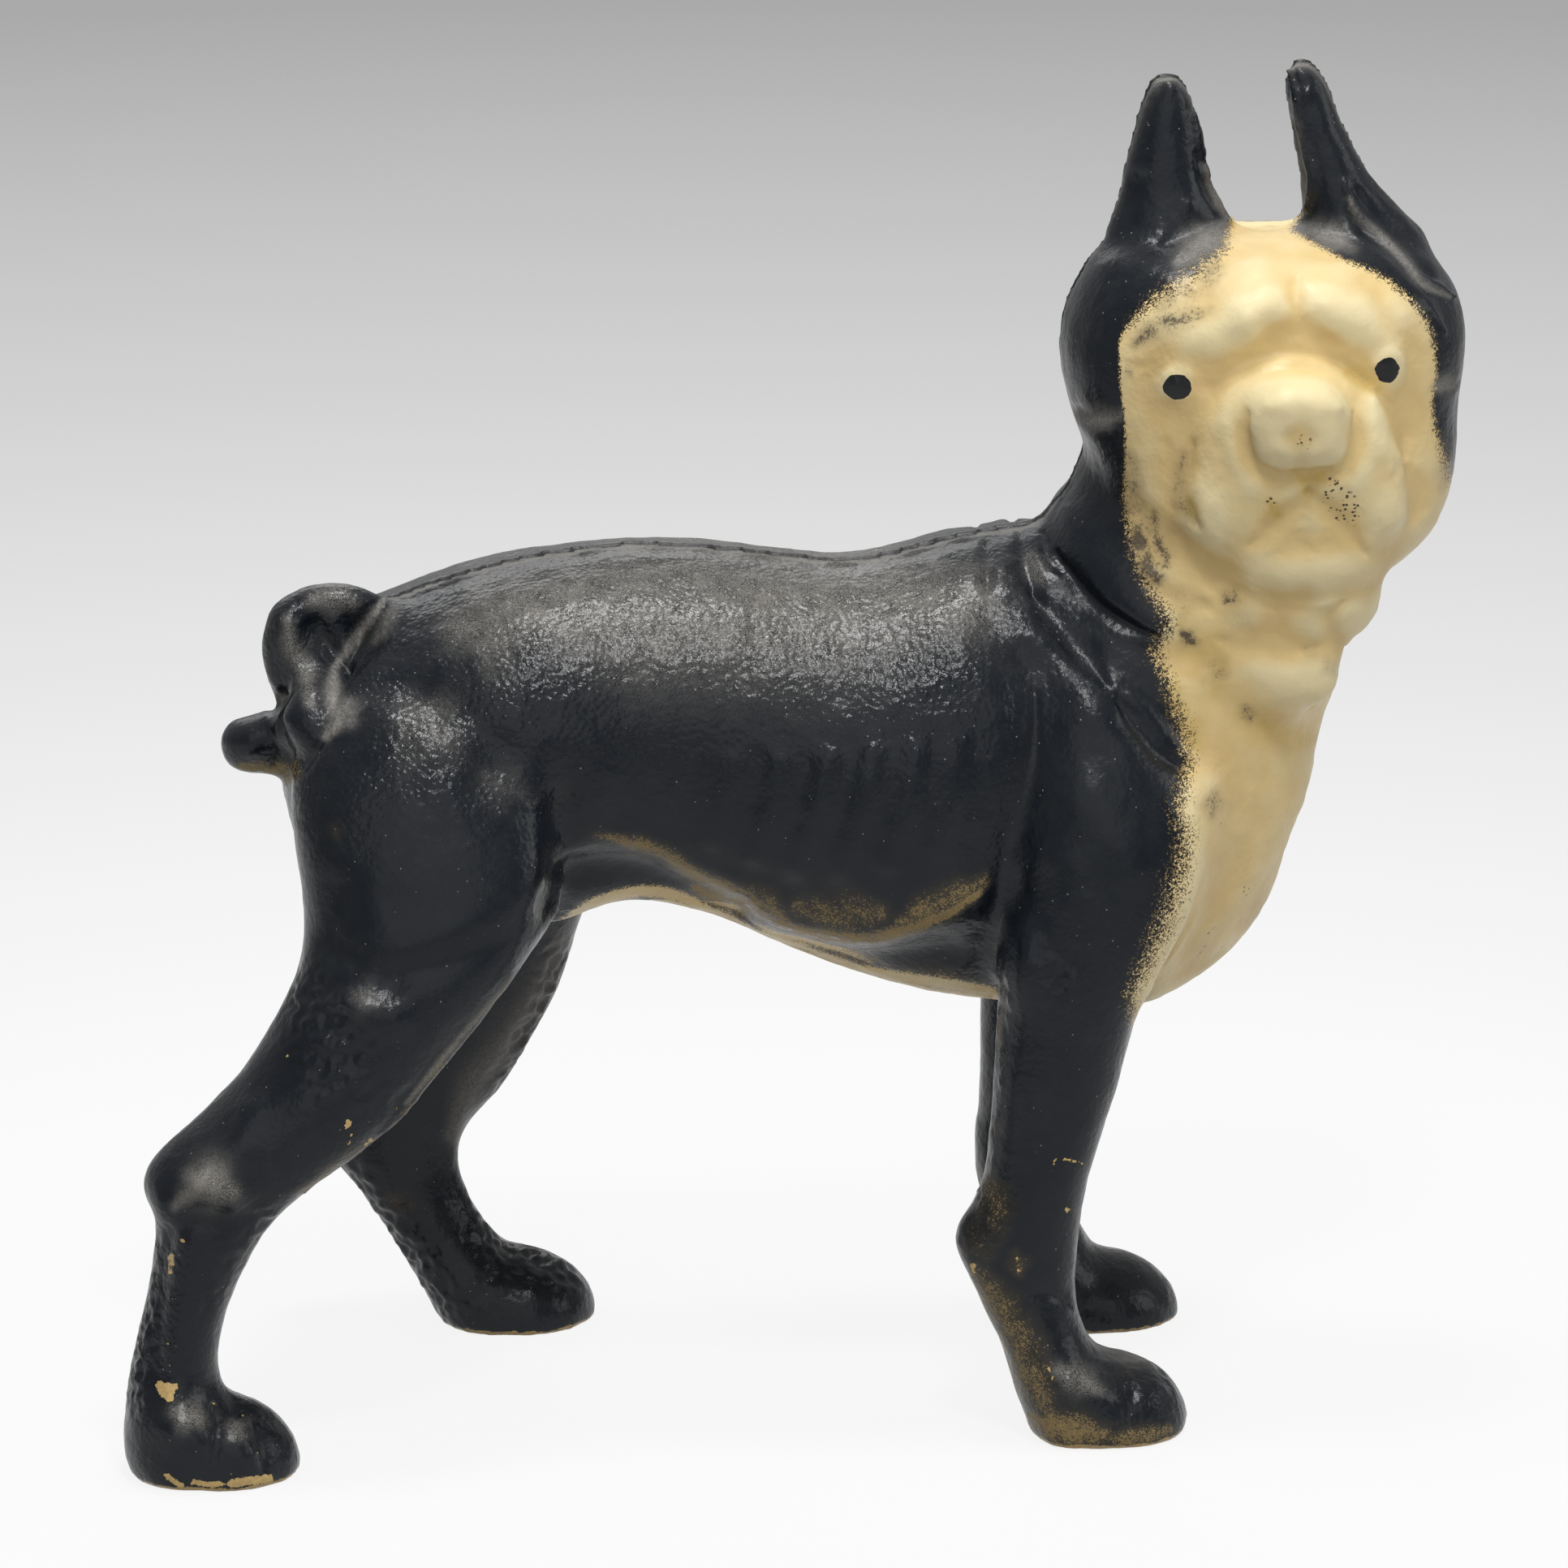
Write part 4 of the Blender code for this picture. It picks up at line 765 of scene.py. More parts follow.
# Marks: the attribute that they go into and their side, then rows of half width, strength and pixels
MARKS = {("gold", "both"): (
    # Gold sprayed along the rib margin and worn edges
    (1.6, 0.85, (736, 1029), (778, 1038), (816, 1050), (849, 1074), (887, 1090), (925, 1103)),
    (1.5, 1.0, (955, 1136), (1000, 1150), (1040, 1154), (1077, 1156), (1123, 1143), (1165, 1127),
     (1190, 1112), (1207, 1100)),
    (3.4, 0.62, (1110, 1136), (1150, 1118), (1185, 1100), (1210, 1085)),
    (3.6, 0.76, (860, 1096), (900, 1112), (940, 1118), (965, 1140)),
    (5.0, 0.52, (985, 1118), (1030, 1128), (1085, 1126)),
    (3.2, 0.56, (970, 1172), (1020, 1182), (1075, 1182)),
    (3.0, 0.75, (1040, 1200), (1100, 1210), (1160, 1214), (1215, 1220)),
    (2.5, 0.35, (1436, 820), (1446, 850), (1462, 900)),
), ("gold", "right"): (
    (1.8, 0.8, (296, 945), (330, 948), (362, 945)),
    (1.8, 0.7, (364, 940), (356, 958), (350, 968)),
    (2.2, 0.62, (372, 1470), (400, 1456), (430, 1436), (463, 1408)),
    (0.8, 0.5, (480, 1392), (520, 1342), (565, 1284)),
    (4.5, 0.4, (1213, 1450), (1222, 1480), (1232, 1515)),
    (2.4, 0.45, (1250, 1545), (1256, 1570)),
    (5.0, 0.62, (1206, 1572), (1226, 1608), (1246, 1645), (1268, 1695), (1290, 1740)),
    (4.4, 0.8, (1268, 1750), (1310, 1764), (1360, 1768)),
    (2.6, 0.7, (1360, 1772), (1400, 1774), (1440, 1762)),
    (6.0, 0.3, (1205, 1520), (1212, 1545)),
    (2.0, 0.35, (1225, 1388)),
    (2.0, 0.3, (415, 1022)),
), ("gold", "far"): (
    (2.6, 0.35, (480, 1475), (505, 1485)),
), ("stain", "right"): (
    # Yellowed enamel on the cream
    (1.4, 0.9, (1596, 583), (1614, 592), (1640, 578)),
    (1.8, 0.6, (1612, 600), (1612, 612)),
    (2.6, 0.75, (1662, 460), (1684, 470), (1694, 478)),
    (2.2, 0.8, (1566, 622), (1574, 634)),
    (1.4, 0.6, (1466, 615), (1474, 640)),
    (4.5, 0.5, (1440, 840), (1456, 880), (1470, 910)),
    (4.5, 0.4, (1455, 770), (1480, 800), (1500, 850)),
    (3.4, 0.45, (1535, 880), (1580, 905), (1620, 910)),
    (4.0, 0.16, (1520, 440), (1560, 430), (1600, 428), (1640, 450)),
), ("smudge", "right"): (
    # Dark smudges and overspray on the cream
    (2.0, 0.85, (1520, 728), (1510, 742)),
    (2.6, 0.3, (1510, 742), (1522, 760), (1540, 775)),
    (1.7, 0.95, (1456, 779), (1472, 792)),
    (3.0, 0.5, (1488, 818), (1508, 832)),
    (1.8, 0.7, (1534, 870), (1540, 888)),
    (2.4, 0.6, (1496, 978), (1492, 1004)),
    (2.2, 0.45, (1636, 816), (1644, 828)),
    (1.6, 0.35, (1608, 800), (1620, 808)),
    (3.0, 0.55, (1391, 560), (1396, 620), (1402, 660)),
    (4.0, 0.62, (1408, 640), (1418, 674), (1432, 706)),
    (2.6, 0.95, (1400, 650), (1410, 684), (1428, 716)),
    (1.4, 0.8, (1422, 630), (1426, 662), (1440, 698)),
    (1.8, 0.55, (1460, 560), (1452, 590), (1456, 618), (1470, 644)),
    (2.2, 0.75, (1398, 424), (1426, 402), (1456, 392), (1490, 382)),
    (0.9, 0.9, (1424, 400), (1440, 392), (1458, 396), (1480, 390)),
    (1.8, 0.55, (1440, 368), (1470, 358), (1506, 338)),
    (1.0, 0.6, (1388, 455), (1394, 462)),
    (3.2, 0.55, (1430, 380), (1470, 352), (1500, 330)),
    (0.5, 0.45, (1404, 464), (1422, 456), (1438, 447)),
    (5.0, 0.35, (1412, 724), (1436, 738), (1456, 752)),
    (2.0, 0.45, (1779, 540), (1784, 570), (1776, 600)),
    (3.5, 0.45, (1610, 1060), (1590, 1100), (1545, 1140)),
), ("dust", "right"): (
    # Pale dust in the crevices
    (0.9, 0.95, (473, 738), (443, 780), (413, 822)),
    (1.6, 0.9, (412, 826), (410, 856), (416, 886), (402, 908)),
    (3.0, 0.55, (418, 862), (430, 888)),
    (1.6, 0.35, (490, 745), (462, 790)),
    (1.2, 0.75, (322, 866), (335, 862), (350, 858)),
    (2.2, 0.75, (1322, 512), (1345, 517), (1378, 512)),
    (1.6, 0.8, (1764, 478), (1780, 474), (1796, 474)),
    (0.9, 0.7, (1662, 245), (1674, 268), (1700, 290), (1728, 318), (1752, 348), (1786, 366)),
    (1.1, 0.55, (1486, 205), (1498, 240), (1512, 268)),
    (1.2, 0.55, (1590, 130), (1597, 190), (1606, 245)),
    (2.4, 0.5, (1452, 322), (1480, 300), (1512, 278)),
    (2.4, 0.45, (1600, 280), (1640, 292), (1665, 306)),
    (1.6, 0.6, (262, 1436), (245, 1458), (215, 1488)),
    (3.2, 0.45, (262, 1440)),
    (0.9, 0.75, (1236, 1215), (1234, 1250), (1222, 1310), (1212, 1400), (1206, 1462)),
    (0.7, 0.75, (700, 1142), (640, 1200), (563, 1284), (500, 1360)),
    (3.2, 0.4, (1352, 1640), (1390, 1660), (1420, 1672)),
), ("dust", "far"): (
    (3.0, 0.5, (690, 1160), (670, 1215), (625, 1285), (580, 1340), (557, 1400)),
), ("haze", "both"): (
    # A haze of dust on what faces up, and a painted highlight: it lightens the back and haunch where the
    # gloss would shine
    (13.0, 0.66, (640, 752), (820, 748), (1000, 745), (1190, 740)),
    (9.0, 0.5, (570, 772), (640, 760)),
    (7.5, 0.28, (505, 880), (548, 912)),
    (4.0, 0.16, (600, 960), (640, 976)),
), ("haze", "right"): (
    # Painted highlights in dust grey on the shoulders, tail, ear bases, knee, hock and paws, with some dust
    (2.6, 0.4, (1150, 690), (1158, 730)),
    (2.4, 0.4, (1268, 684), (1284, 716)),
    (3.2, 0.55, (386, 740), (410, 735), (432, 744)),
    (1.9, 0.6, (354, 762), (358, 800), (376, 828), (381, 868)),
    (4.4, 0.55, (1462, 318), (1486, 304), (1502, 292)),
    (2.6, 0.6, (1628, 290), (1652, 298)),
    (3.4, 0.8, (238, 1450), (262, 1462), (286, 1470)),
    (3.0, 0.75, (218, 1738), (246, 1750)),
    (2.2, 0.65, (286, 1756), (298, 1768)),
    (2.8, 0.35, (440, 1228), (462, 1234)),
    (2.8, 0.65, (1306, 1690), (1330, 1700), (1350, 1712)),
), ("pores", "right"): (
    # Dark pores
    (3.0, 0.95, (1640, 600), (1655, 625), (1665, 640)),
    (2.2, 0.55, (1606, 540), (1610, 550)),
    (2.0, 0.45, (1570, 615), (1560, 625)),
    (14.0, 0.12, (1480, 1000), (1480, 1150)),
)}
MARK_ENDS = 0.5

# Chips through the black enamel, each a spot: pixel and half width in millimetres
CHIPS = (
    (205, 1713, 1.55), (197, 1707, 0.9), (215, 1709, 0.8), (209, 1722, 0.9), (211, 1549, 0.7),
    (211, 1558, 0.6), (210, 1568, 0.5), (224, 1529, 0.45), (250, 1573, 0.4), (429, 1382, 0.55),
    (428, 1387, 0.55), (433, 1399, 0.4), (430, 1408, 0.4), (456, 1405, 0.45), (451, 1410, 0.4),
    (424, 1320, 0.3), (354, 1301, 0.28), (488, 1366, 0.32), (497, 1332, 0.25), (1299, 1433, 0.45),
    (1306, 1425, 0.3), (1315, 1491, 0.5), (1199, 1560, 0.55), (1200, 1566, 0.5), (1252, 1550, 0.4),
    (1255, 1565, 0.35), (213, 1602, 0.25), (206, 1655, 0.3), (207, 1683, 0.3), (262, 1730, 0.3),
    (300, 1745, 0.3), (316, 1790, 0.25),
)
# Scratches: half width in millimetres, pixels along the scratch
SCRATCHES = (
    (0.22, (1308, 1427), (1333, 1434)),
    (0.25, (1291, 1684), (1296, 1692), (1297, 1701)),
    (0.5, (238, 1826), (255, 1829), (272, 1829)),
    (0.8, (285, 1828), (310, 1824), (332, 1822)),
    (0.5, (205, 1818), (225, 1832)),
)
LEAST_FACING = 0.05
CHIP_FAR = -2.0
SOLE_CHIP_HEIGHT = 2.2
# Dust that lies in every hollow and along the seam of the back, and on all that faces up a haze that is
# partly dust and partly a painted highlight
HOLLOW_DUST = 0.03
UP_DUST_AND_HIGHLIGHT = 0.05
SEAM_DUST = 0.75
SEAM_DUST_WIDTH = 1.7
SEAM_DUST_ABOVE = 140 * MM

# Painted eyes: middle as a pixel, half width and half height in millimetres
EYES = ((1451, 477, 2.75, 2.45), (1709.5, 456, 2.3, 2.35))
EYE_FAR = -3.0

# Relief is how far a point lies below its smoothed surroundings, in shares of this many millimetres
RELIEF_FULL = 0.25
RELIEF_SHARE = 0.8
RELIEF_PASSES = 8
RELIEF_BLUR = 12


def edge_value(distance, softness):
    return np.clip(0.5 + distance / (2 * softness), 0, 1)


def face_cover(looks):
    """The painted zone of face, throat and chest, with its edges as soft as the outline's rows say."""
    index = np.flatnonzero(looks.shown)
    pixels = looks.near[index]
    away = ((pixels[:, None, :] - np.array(FACE_OUTLINE, float)[None]) ** 2).sum(2)
    weight = 1 / (away + SOFTNESS_BLEND) ** 1.5
    softness = (weight * np.array([row[2] for row in FACE_PAINT])).sum(1) / weight.sum(1)
    value = np.zeros(len(looks.co))
    value[index] = edge_value(zone_distance(pixels, FACE_OUTLINE), softness)
    return value


def within(points, place):
    """1 inside a place low on the figure, easing off away from the seam."""
    (back, front), (low, high), reach, ease = place
    x, y, z = points
    return (x > back) * (x < front) * (z > low) * (z < high) * eased((reach - np.abs(y)) / ease)


def cream_paint(looks):
    """How much cream enamel covers each point: face, throat and chest, and the rim of the belly."""
    points = (looks.co / MM).T
    x, y, z = points
    faces_left = eased((looks.normals[:, 1] - LEFT_FACING) / LEFT_EASE) * (y > HEAD_EDGE)
    on_head = (1 - eased((y - HEAD_EDGE) / HEAD_EASE)) * (1 - faces_left)
    front = face_cover(looks) * np.where(z > CHEST_TOP, on_head, 1)
    height, length, start = EDGE_WAVES
    edge = EDGE_START - EDGE_FALL * y + height * np.sin(y / length + start)
    below_crown = ~looks.right & (z < CROWN)
    front = np.where(below_crown, np.minimum(front, edge_value(edge - z, EDGE_FADE)), front)
    down = -looks.normals[:, 2]
    rim = stroke(looks, "both", RIM_WIDTH, RIM_LINE, facing=0) * within(points, RIM_PLACE)
    belly = edge_value(down - BELLY_FACING[0], BELLY_FACING[1]) * within(points, BELLY_PLACE)
    chin = (z > CHIN_Z[0]) & (z < CHIN_Z[1]) & (x > CHIN_X) & looks.right
    return np.maximum.reduce((front, rim, belly, chin * edge_value(down - CHIN_FACING[0], CHIN_FACING[1])))


def relief_of(looks):
    """How hollow (above 0) or raised (below 0) the surface is at each point, from -1 to 1."""
    held = looks.shown * RELIEF_SHARE
    low = smoothed(looks.co, looks.edges, held, RELIEF_PASSES)
    depth = ((low - looks.co) * looks.normals).sum(1) / MM
    relief = smoothed(np.clip(depth / RELIEF_FULL, -1, 1)[:, None], looks.edges, held, RELIEF_BLUR)
    return relief[:, 0] * looks.shown


def chips_of(looks):
    """How deep inside a chip or scratch each point lies, in millimetres, below zero outside."""
    pixels, faces, counts = looks.seen("right")
    chip = np.full(len(pixels), CHIP_FAR)
    for x, y, width in CHIPS:
        chip = np.maximum(chip, width - np.linalg.norm(pixels - (x, y), axis=1) * MM_PER_PIXEL)
    for width, *points in SCRATCHES:
        chip = np.maximum(chip, width - line_distance(pixels, curve_through(points))[0])
    return np.where(counts & (faces > LEAST_FACING), chip, CHIP_FAR)


def eyes_of(looks):
    """How deep inside a painted eye each point lies, in millimetres, below zero outside."""
    pixels, faces, counts = looks.seen("right")
    eye = np.full(len(pixels), EYE_FAR)
    for x, y, half_width, half_height in EYES:
        away = (pixels - (x, y)) * MM_PER_PIXEL
        edge = np.hypot(away[:, 0] / half_width, away[:, 1] / half_height)
        eye = np.maximum(eye, (1 - edge) * (half_width + half_height) / 2)
    return np.where(counts & (faces > LEAST_FACING), eye, EYE_FAR)


def paint(looks):
    """Stores where each paint, stain and mark lies as attributes that the enamel's nodes read."""
    fields = {}
    for (name, side), rows in MARKS.items():
        cover = strokes(looks, {side: rows}, ends=MARK_ENDS, facing=MARK_FACING)
        fields[name] = np.maximum.reduce([fields.get(name, np.zeros(len(looks.co))), *cover])
    relief = relief_of(looks)
    upward = looks.normals[:, 2].clip(0)
    dust = np.clip(fields["dust"] + HOLLOW_DUST * relief.clip(0), 0, 1)
    seam_dust = bell(looks.co[:, 1] / MM + SECOND_AWAY / 2, SEAM_DUST_WIDTH) * looks.shown * upward
    fields["dust"] = np.maximum(dust, SEAM_DUST * seam_dust * (looks.co[:, 2] > SEAM_DUST_ABOVE))
    # What faces up gets more haze: partly dust, partly a painted highlight
    fields["haze"] = np.clip(fields["haze"] + UP_DUST_AND_HIGHLIGHT * upward**1.5 * looks.shown, 0, 1)
    fields["relief"] = relief
    fields["cream"] = cream_paint(looks)
    fields["grain"] = grain_share(looks)
    fields["chip"] = chips_of(looks)
    fields["worn_sole"] = np.clip(1 - looks.co[:, 2] / MM / SOLE_CHIP_HEIGHT, 0, 1) * looks.shown
    fields["eye"] = eyes_of(looks)
    for name, values in fields.items():
        attribute = looks.mesh.attributes.new(name, "FLOAT", "POINT")
        attribute.data.foreach_set("value", values.astype(np.float32))


for skin in skins:
    soften(Looks(skin))
    sculpt(Looks(skin))
    paint(Looks(skin))


# The enamel

# Colours as the shader's linear values
NAVY_BLACK = (0.0046, 0.0074, 0.0122)
WORN_BLACK = (0.0115, 0.0145, 0.0190)
GOLD = (0.42, 0.290, 0.115)
OLIVE_GOLD = (0.25, 0.190, 0.092)
CREAM = (0.84, 0.64, 0.305)
# The pale cream is a painted highlight on the heights; the deep cream is a random deeper tone and painted
# shade in the hollows
PALE_CREAM_HIGHLIGHT = (0.91, 0.79, 0.48)
DEEP_CREAM_AND_SHADE = (0.58, 0.38, 0.145)
STAIN_YELLOW = (0.60, 0.40, 0.075)
SMUDGE_DARK = (0.060, 0.048, 0.042)
PORE_OLIVE = (0.085, 0.068, 0.028)
# The dust grey also paints the haze, which is partly a painted highlight
DUST_AND_HIGHLIGHT_GREY = (0.36, 0.34, 0.305)
CHIP_CREAM = (0.80, 0.56, 0.235)
EYE_BLACK = (0.016, 0.017, 0.018)

# Clouds that the coats share: size in millimetres, detail, roughness, and the values that become 0 and 1
DROPLETS = (0.23, 1.0, 0.5, 0.30, 0.70)
BLOTS = (0.8, 2.0, 0.55, 0.30, 0.70)
PATCHES = (4.0, 3.0, 0.6, 0.30, 0.70)
BROAD = (15.0, 3.0, 0.55, 0.32, 0.68)
# Sizes of the spray's fine and coarse specks in millimetres
FINE_SPRAY, COARSE_SPRAY = 0.22, 0.42
PORE_SPACING, FLECK_SPACING = 0.95, 2.1

GLOSS_LEVEL = 0.25
# Roughness of the black and of the cream, from one patch to the next, and how much smoother the pebbles are
BLACK_ROUGHNESS = (0.26, 0.36)
CREAM_ROUGHNESS = (0.33, 0.45)
PEBBLE_SHEEN = 0.09
DUST_ROUGHNESS, GOLD_ROUGHNESS, EYE_ROUGHNESS = 0.85, 0.6, 0.18

# Sizes and heights in millimetres
PEBBLE_SIZE, PEBBLE_HEIGHT = 1.05, 0.22
SAND_SIZE, SAND_HEIGHT = 0.38, 0.06
WAVE_SIZE, WAVE_HEIGHT = 3.2, 0.08
CHIP_DEPTH = 0.15
PORE_DEPTH = 0.20


class Nodes:
    """Short words for building the node tree of a material or of the world. Sizes are in millimetres."""

    def __init__(self, owner, empty=False):
        owner.use_nodes = True
        self.tree = owner.node_tree
        if empty:
            self.tree.nodes.clear()

    def make(self, kind, inputs=None, **settings):
        """A node of this kind, with its settings and what goes into its inputs."""
        made = self.tree.nodes.new(kind)
        for name, value in settings.items():
            setattr(made, name, value)
        for socket, value in (inputs or {}).items():
            self.feed(made.inputs[socket], value)
        return made

    def feed(self, socket, value):
        """Links another node's socket, or sets a number, a vector or a colour."""
        if isinstance(value, bpy.types.NodeSocket):
            self.tree.links.new(value, socket)
        elif isinstance(value, tuple):
            socket.default_value = (*value, 1.0)[:len(socket.default_value)]
        else:
            socket.default_value = value

    @cached_property
    def shader(self):
        return self.tree.nodes["Principled BSDF"]

    @cached_property
    def place(self):
        return self.make("ShaderNodeTexCoord").outputs["Object"]

    def mark(self, name):
        return self.make("ShaderNodeAttribute", attribute_name=name).outputs["Fac"]

    def noise(self, size, detail=2.0, roughness=0.5):
        """Cloudy noise with features of this size."""
        inputs = {"Vector": self.place, "Scale": 1 / (size * MM), "Detail": detail, "Roughness": roughness}
        return self.make("ShaderNodeTexNoise", inputs).outputs["Fac"]

    def clouds(self, size, detail, roughness, low, high):
        return self.spread(self.noise(size, detail, roughness), low, high)

    def spots(self, size, feature="F1"):
        """Many scattered spots, this size apart."""
        inputs = {"Vector": self.place, "Scale": 1 / (size * MM)}
        return self.make("ShaderNodeTexVoronoi", inputs, feature=feature)

    def specks(self, size):
        """A random value for each of many small cells, evenly spread from 0 to 1."""
        return self.make("ShaderNodeSeparateColor", {0: self.spots(size).outputs["Color"]}).outputs[0]

    def math(self, operation, a, b=0.0, clamp=False):
        return self.make("ShaderNodeMath", {0: a, 1: b}, operation=operation, use_clamp=clamp).outputs[0]

    def plus(self, a, b, clamp=False):
        return self.math("ADD", a, b, clamp)

    def minus(self, a, b):
        return self.math("SUBTRACT", a, b)

    def times(self, a, b, clamp=False):
        return self.math("MULTIPLY", a, b, clamp)

    def spread(self, value, low, high):
        """0 at low, 1 at high."""
        inputs = {"Value": value, "From Min": low, "From Max": high}
        return self.make("ShaderNodeMapRange", inputs).outputs["Result"]

    def mix(self, factor, a, b):
        """From colour a to colour b."""
        return self.make("ShaderNodeMix", {0: factor, 6: a, 7: b}, data_type="RGBA").outputs[2]

    def blend(self, factor, a, b):
        """From number a to number b."""
        return self.make("ShaderNodeMix", {0: factor, 2: a, 3: b}, data_type="FLOAT").outputs[0]

    def distance(self, from_place=(0.0, 0.0, 0.0), axes=(1.0, 1.0, 1.0)):
        """How far the surface is from a place, counting only the axes with a 1."""
        offset = self.make("ShaderNodeVectorMath", {0: self.place, 1: from_place}, operation="SUBTRACT")
        flat = self.make("ShaderNodeVectorMath", {0: offset.outputs[0], 1: axes}, operation="MULTIPLY")
        return self.make("ShaderNodeVectorMath", {0: flat.outputs[0]}, operation="LENGTH").outputs["Value"]

    def raise_by(self, height):
        """Bumps the shader's surface by a height in millimetres."""
        bump = self.make("ShaderNodeBump", {"Strength": 1.0, "Distance": MM, "Height": height})
        self.feed(self.shader.inputs["Normal"], bump.outputs["Normal"])

    def shown_rays(self):
        """1 for the rays that show what is behind the object: camera, gloss and clear parts."""
        path = self.make("ShaderNodeLightPath")
        seen = self.plus(path.outputs["Is Camera Ray"], path.outputs["Is Glossy Ray"], clamp=True)
        return self.plus(seen, path.outputs["Is Transmission Ray"], clamp=True)

    def output(self, kind, share, lighting, shown):
        """Gives the output one shader for lighting the scene and another, by its share, for being seen."""
        mix = self.make("ShaderNodeMixShader", {"Fac": share, 1: lighting.outputs[0], 2: shown.outputs[0]})
        self.make(kind, {"Surface": mix.outputs[0]})


def enamel_material():
    material = bpy.data.materials.new("worn_enamel_on_iron")
    n = Nodes(material)
    droplets, blots, patches, broad = (n.clouds(*kind) for kind in (DROPLETS, BLOTS, PATCHES, BROAD))
    spray = n.blend(0.22, n.blend(0.35, n.specks(FINE_SPRAY), n.specks(COARSE_SPRAY)), blots)

    # Black enamel, duller where it is thin
    black = n.mix(n.times(broad, patches), NAVY_BLACK, WORN_BLACK)

    # Cream enamel, deeper in tone at random, with painted shade in the hollows and a painted highlight on
    # the heights
    relief = n.mark("relief")
    hollow = n.spread(relief, 0.05, 0.9)
    raised = n.spread(relief, -0.02, -0.45)
    cream = n.mix(n.times(broad, 0.4), CREAM, DEEP_CREAM_AND_SHADE)
    cream = n.mix(n.times(raised, 0.8), cream, PALE_CREAM_HIGHLIGHT)
    cream = n.mix(n.times(hollow, 0.45), cream, DEEP_CREAM_AND_SHADE)
    cream = n.mix(n.times(n.mark("stain"), n.spread(patches, -0.3, 0.8)), cream, STAIN_YELLOW)

    # The sprayed edge: droplets of gold, then of cream, thicken into the full coat
    cover = n.spread(n.mark("cream"), 0.06, 0.94)
    over = n.minus(n.minus(n.times(cover, 1.26), 0.22), spray)
    gold_drops = n.spread(over, -0.20, -0.02)
    cream_drops = n.spread(over, -0.02, 0.08)
    on_black = n.blend(cream_drops, 1.0, 0.0)
    colour = n.mix(n.times(gold_drops, 0.6), black, GOLD)
    colour = n.mix(cream_drops, colour, cream)

    # Gold marks on the black: a thin film, and drops where it is thicker
    gold = n.times(n.mark("gold"), n.spread(patches, -0.9, 0.8))
    bare = n.blend(cream_drops, 1.0, 0.2)
    film = n.times(n.spread(gold, 0.05, 0.8), bare)
    colour = n.mix(n.times(film, 0.32), colour, OLIVE_GOLD)
    gold_share = n.spread(n.minus(gold, n.times(spray, 0.95)), 0.02, 0.14)
    gold_share = n.times(n.times(gold_share, 0.85), bare)
    colour = n.mix(gold_share, colour, n.mix(blots, OLIVE_GOLD, GOLD))

    # Smudges and pores
    smudge = n.times(n.mark("smudge"), n.spread(patches, -0.7, 0.7))
    drops = n.spread(n.minus(smudge, n.blend(0.25, spray, blots)), 0.0, 0.30)
    smudge = n.plus(n.times(smudge, 0.62), n.times(drops, 0.5), clamp=True)
    colour = n.mix(n.times(smudge, 0.9), colour, SMUDGE_DARK)
    pored = n.spread(n.minus(n.mark("pores"), n.times(patches, 0.45)), 0.0, 0.15)
    pore = n.times(n.spread(n.spots(PORE_SPACING).outputs["Distance"], 0.34, 0.20), pored)
    colour = n.mix(pore, colour, PORE_OLIVE)

    # Dust: a haze on the black that is partly a painted highlight, deposits in the crevices, and single
    # flecks
    haze = n.times(n.mark("haze"), n.spread(n.blend(0.25, droplets, patches), 0.10, 0.80))
    colour = n.mix(n.times(haze, on_black, clamp=True), colour, DUST_AND_HIGHLIGHT_GREY)
    dust = n.times(n.mark("dust"), n.spread(spray, -0.25, 0.85))
    dust = n.times(dust, n.blend(cream_drops, 1.0, 0.25), clamp=True)
    colour = n.mix(dust, colour, DUST_AND_HIGHLIGHT_GREY)
    fleck = n.spread(n.spots(FLECK_SPACING).outputs["Distance"], 0.085, 0.055)
    fleck = n.times(n.times(fleck, n.spread(blots, 0.45, 0.6)), n.blend(cream_drops, 0.75, 0.0))
    colour = n.mix(fleck, colour, DUST_AND_HIGHLIGHT_GREY)

    # Chips down to the cream, ragged at their edges, and worn soles
    ragged = n.times(n.minus(n.noise(0.7, 3.0, 0.6), 0.5), 1.1)
    chip = n.spread(n.plus(n.mark("chip"), ragged), -0.03, 0.03)
    sole = n.spread(n.minus(n.mark("worn_sole"), n.noise(3.0, 4.0, 0.65)), 0.0, 0.06)
    chip = n.math("MAXIMUM", chip, n.times(sole, 0.8))
    colour = n.mix(chip, colour, n.mix(n.times(blots, 0.6), CHIP_CREAM, GOLD))

    # Eyes are painted dots with a slightly ragged rim
    rim = n.times(n.minus(n.noise(1.6), 0.5), 0.9)
    eye = n.spread(n.plus(n.mark("eye"), rim), -0.05, 0.05)
    n.feed(n.shader.inputs["Base Color"], n.mix(eye, colour, EYE_BLACK))

    grain = n.mark("grain")
    n.shader.inputs["Specular IOR Level"].default_value = GLOSS_LEVEL
    glossy = n.minus(n.blend(patches, *BLACK_ROUGHNESS), n.times(grain, PEBBLE_SHEEN))
    roughness = n.blend(cream_drops, glossy, n.blend(patches, *CREAM_ROUGHNESS))
    for share, value in ((dust, DUST_ROUGHNESS), (gold_share, GOLD_ROUGHNESS), (eye, EYE_ROUGHNESS)):
        roughness = n.blend(share, roughness, value)
    n.feed(n.shader.inputs["Roughness"], roughness)

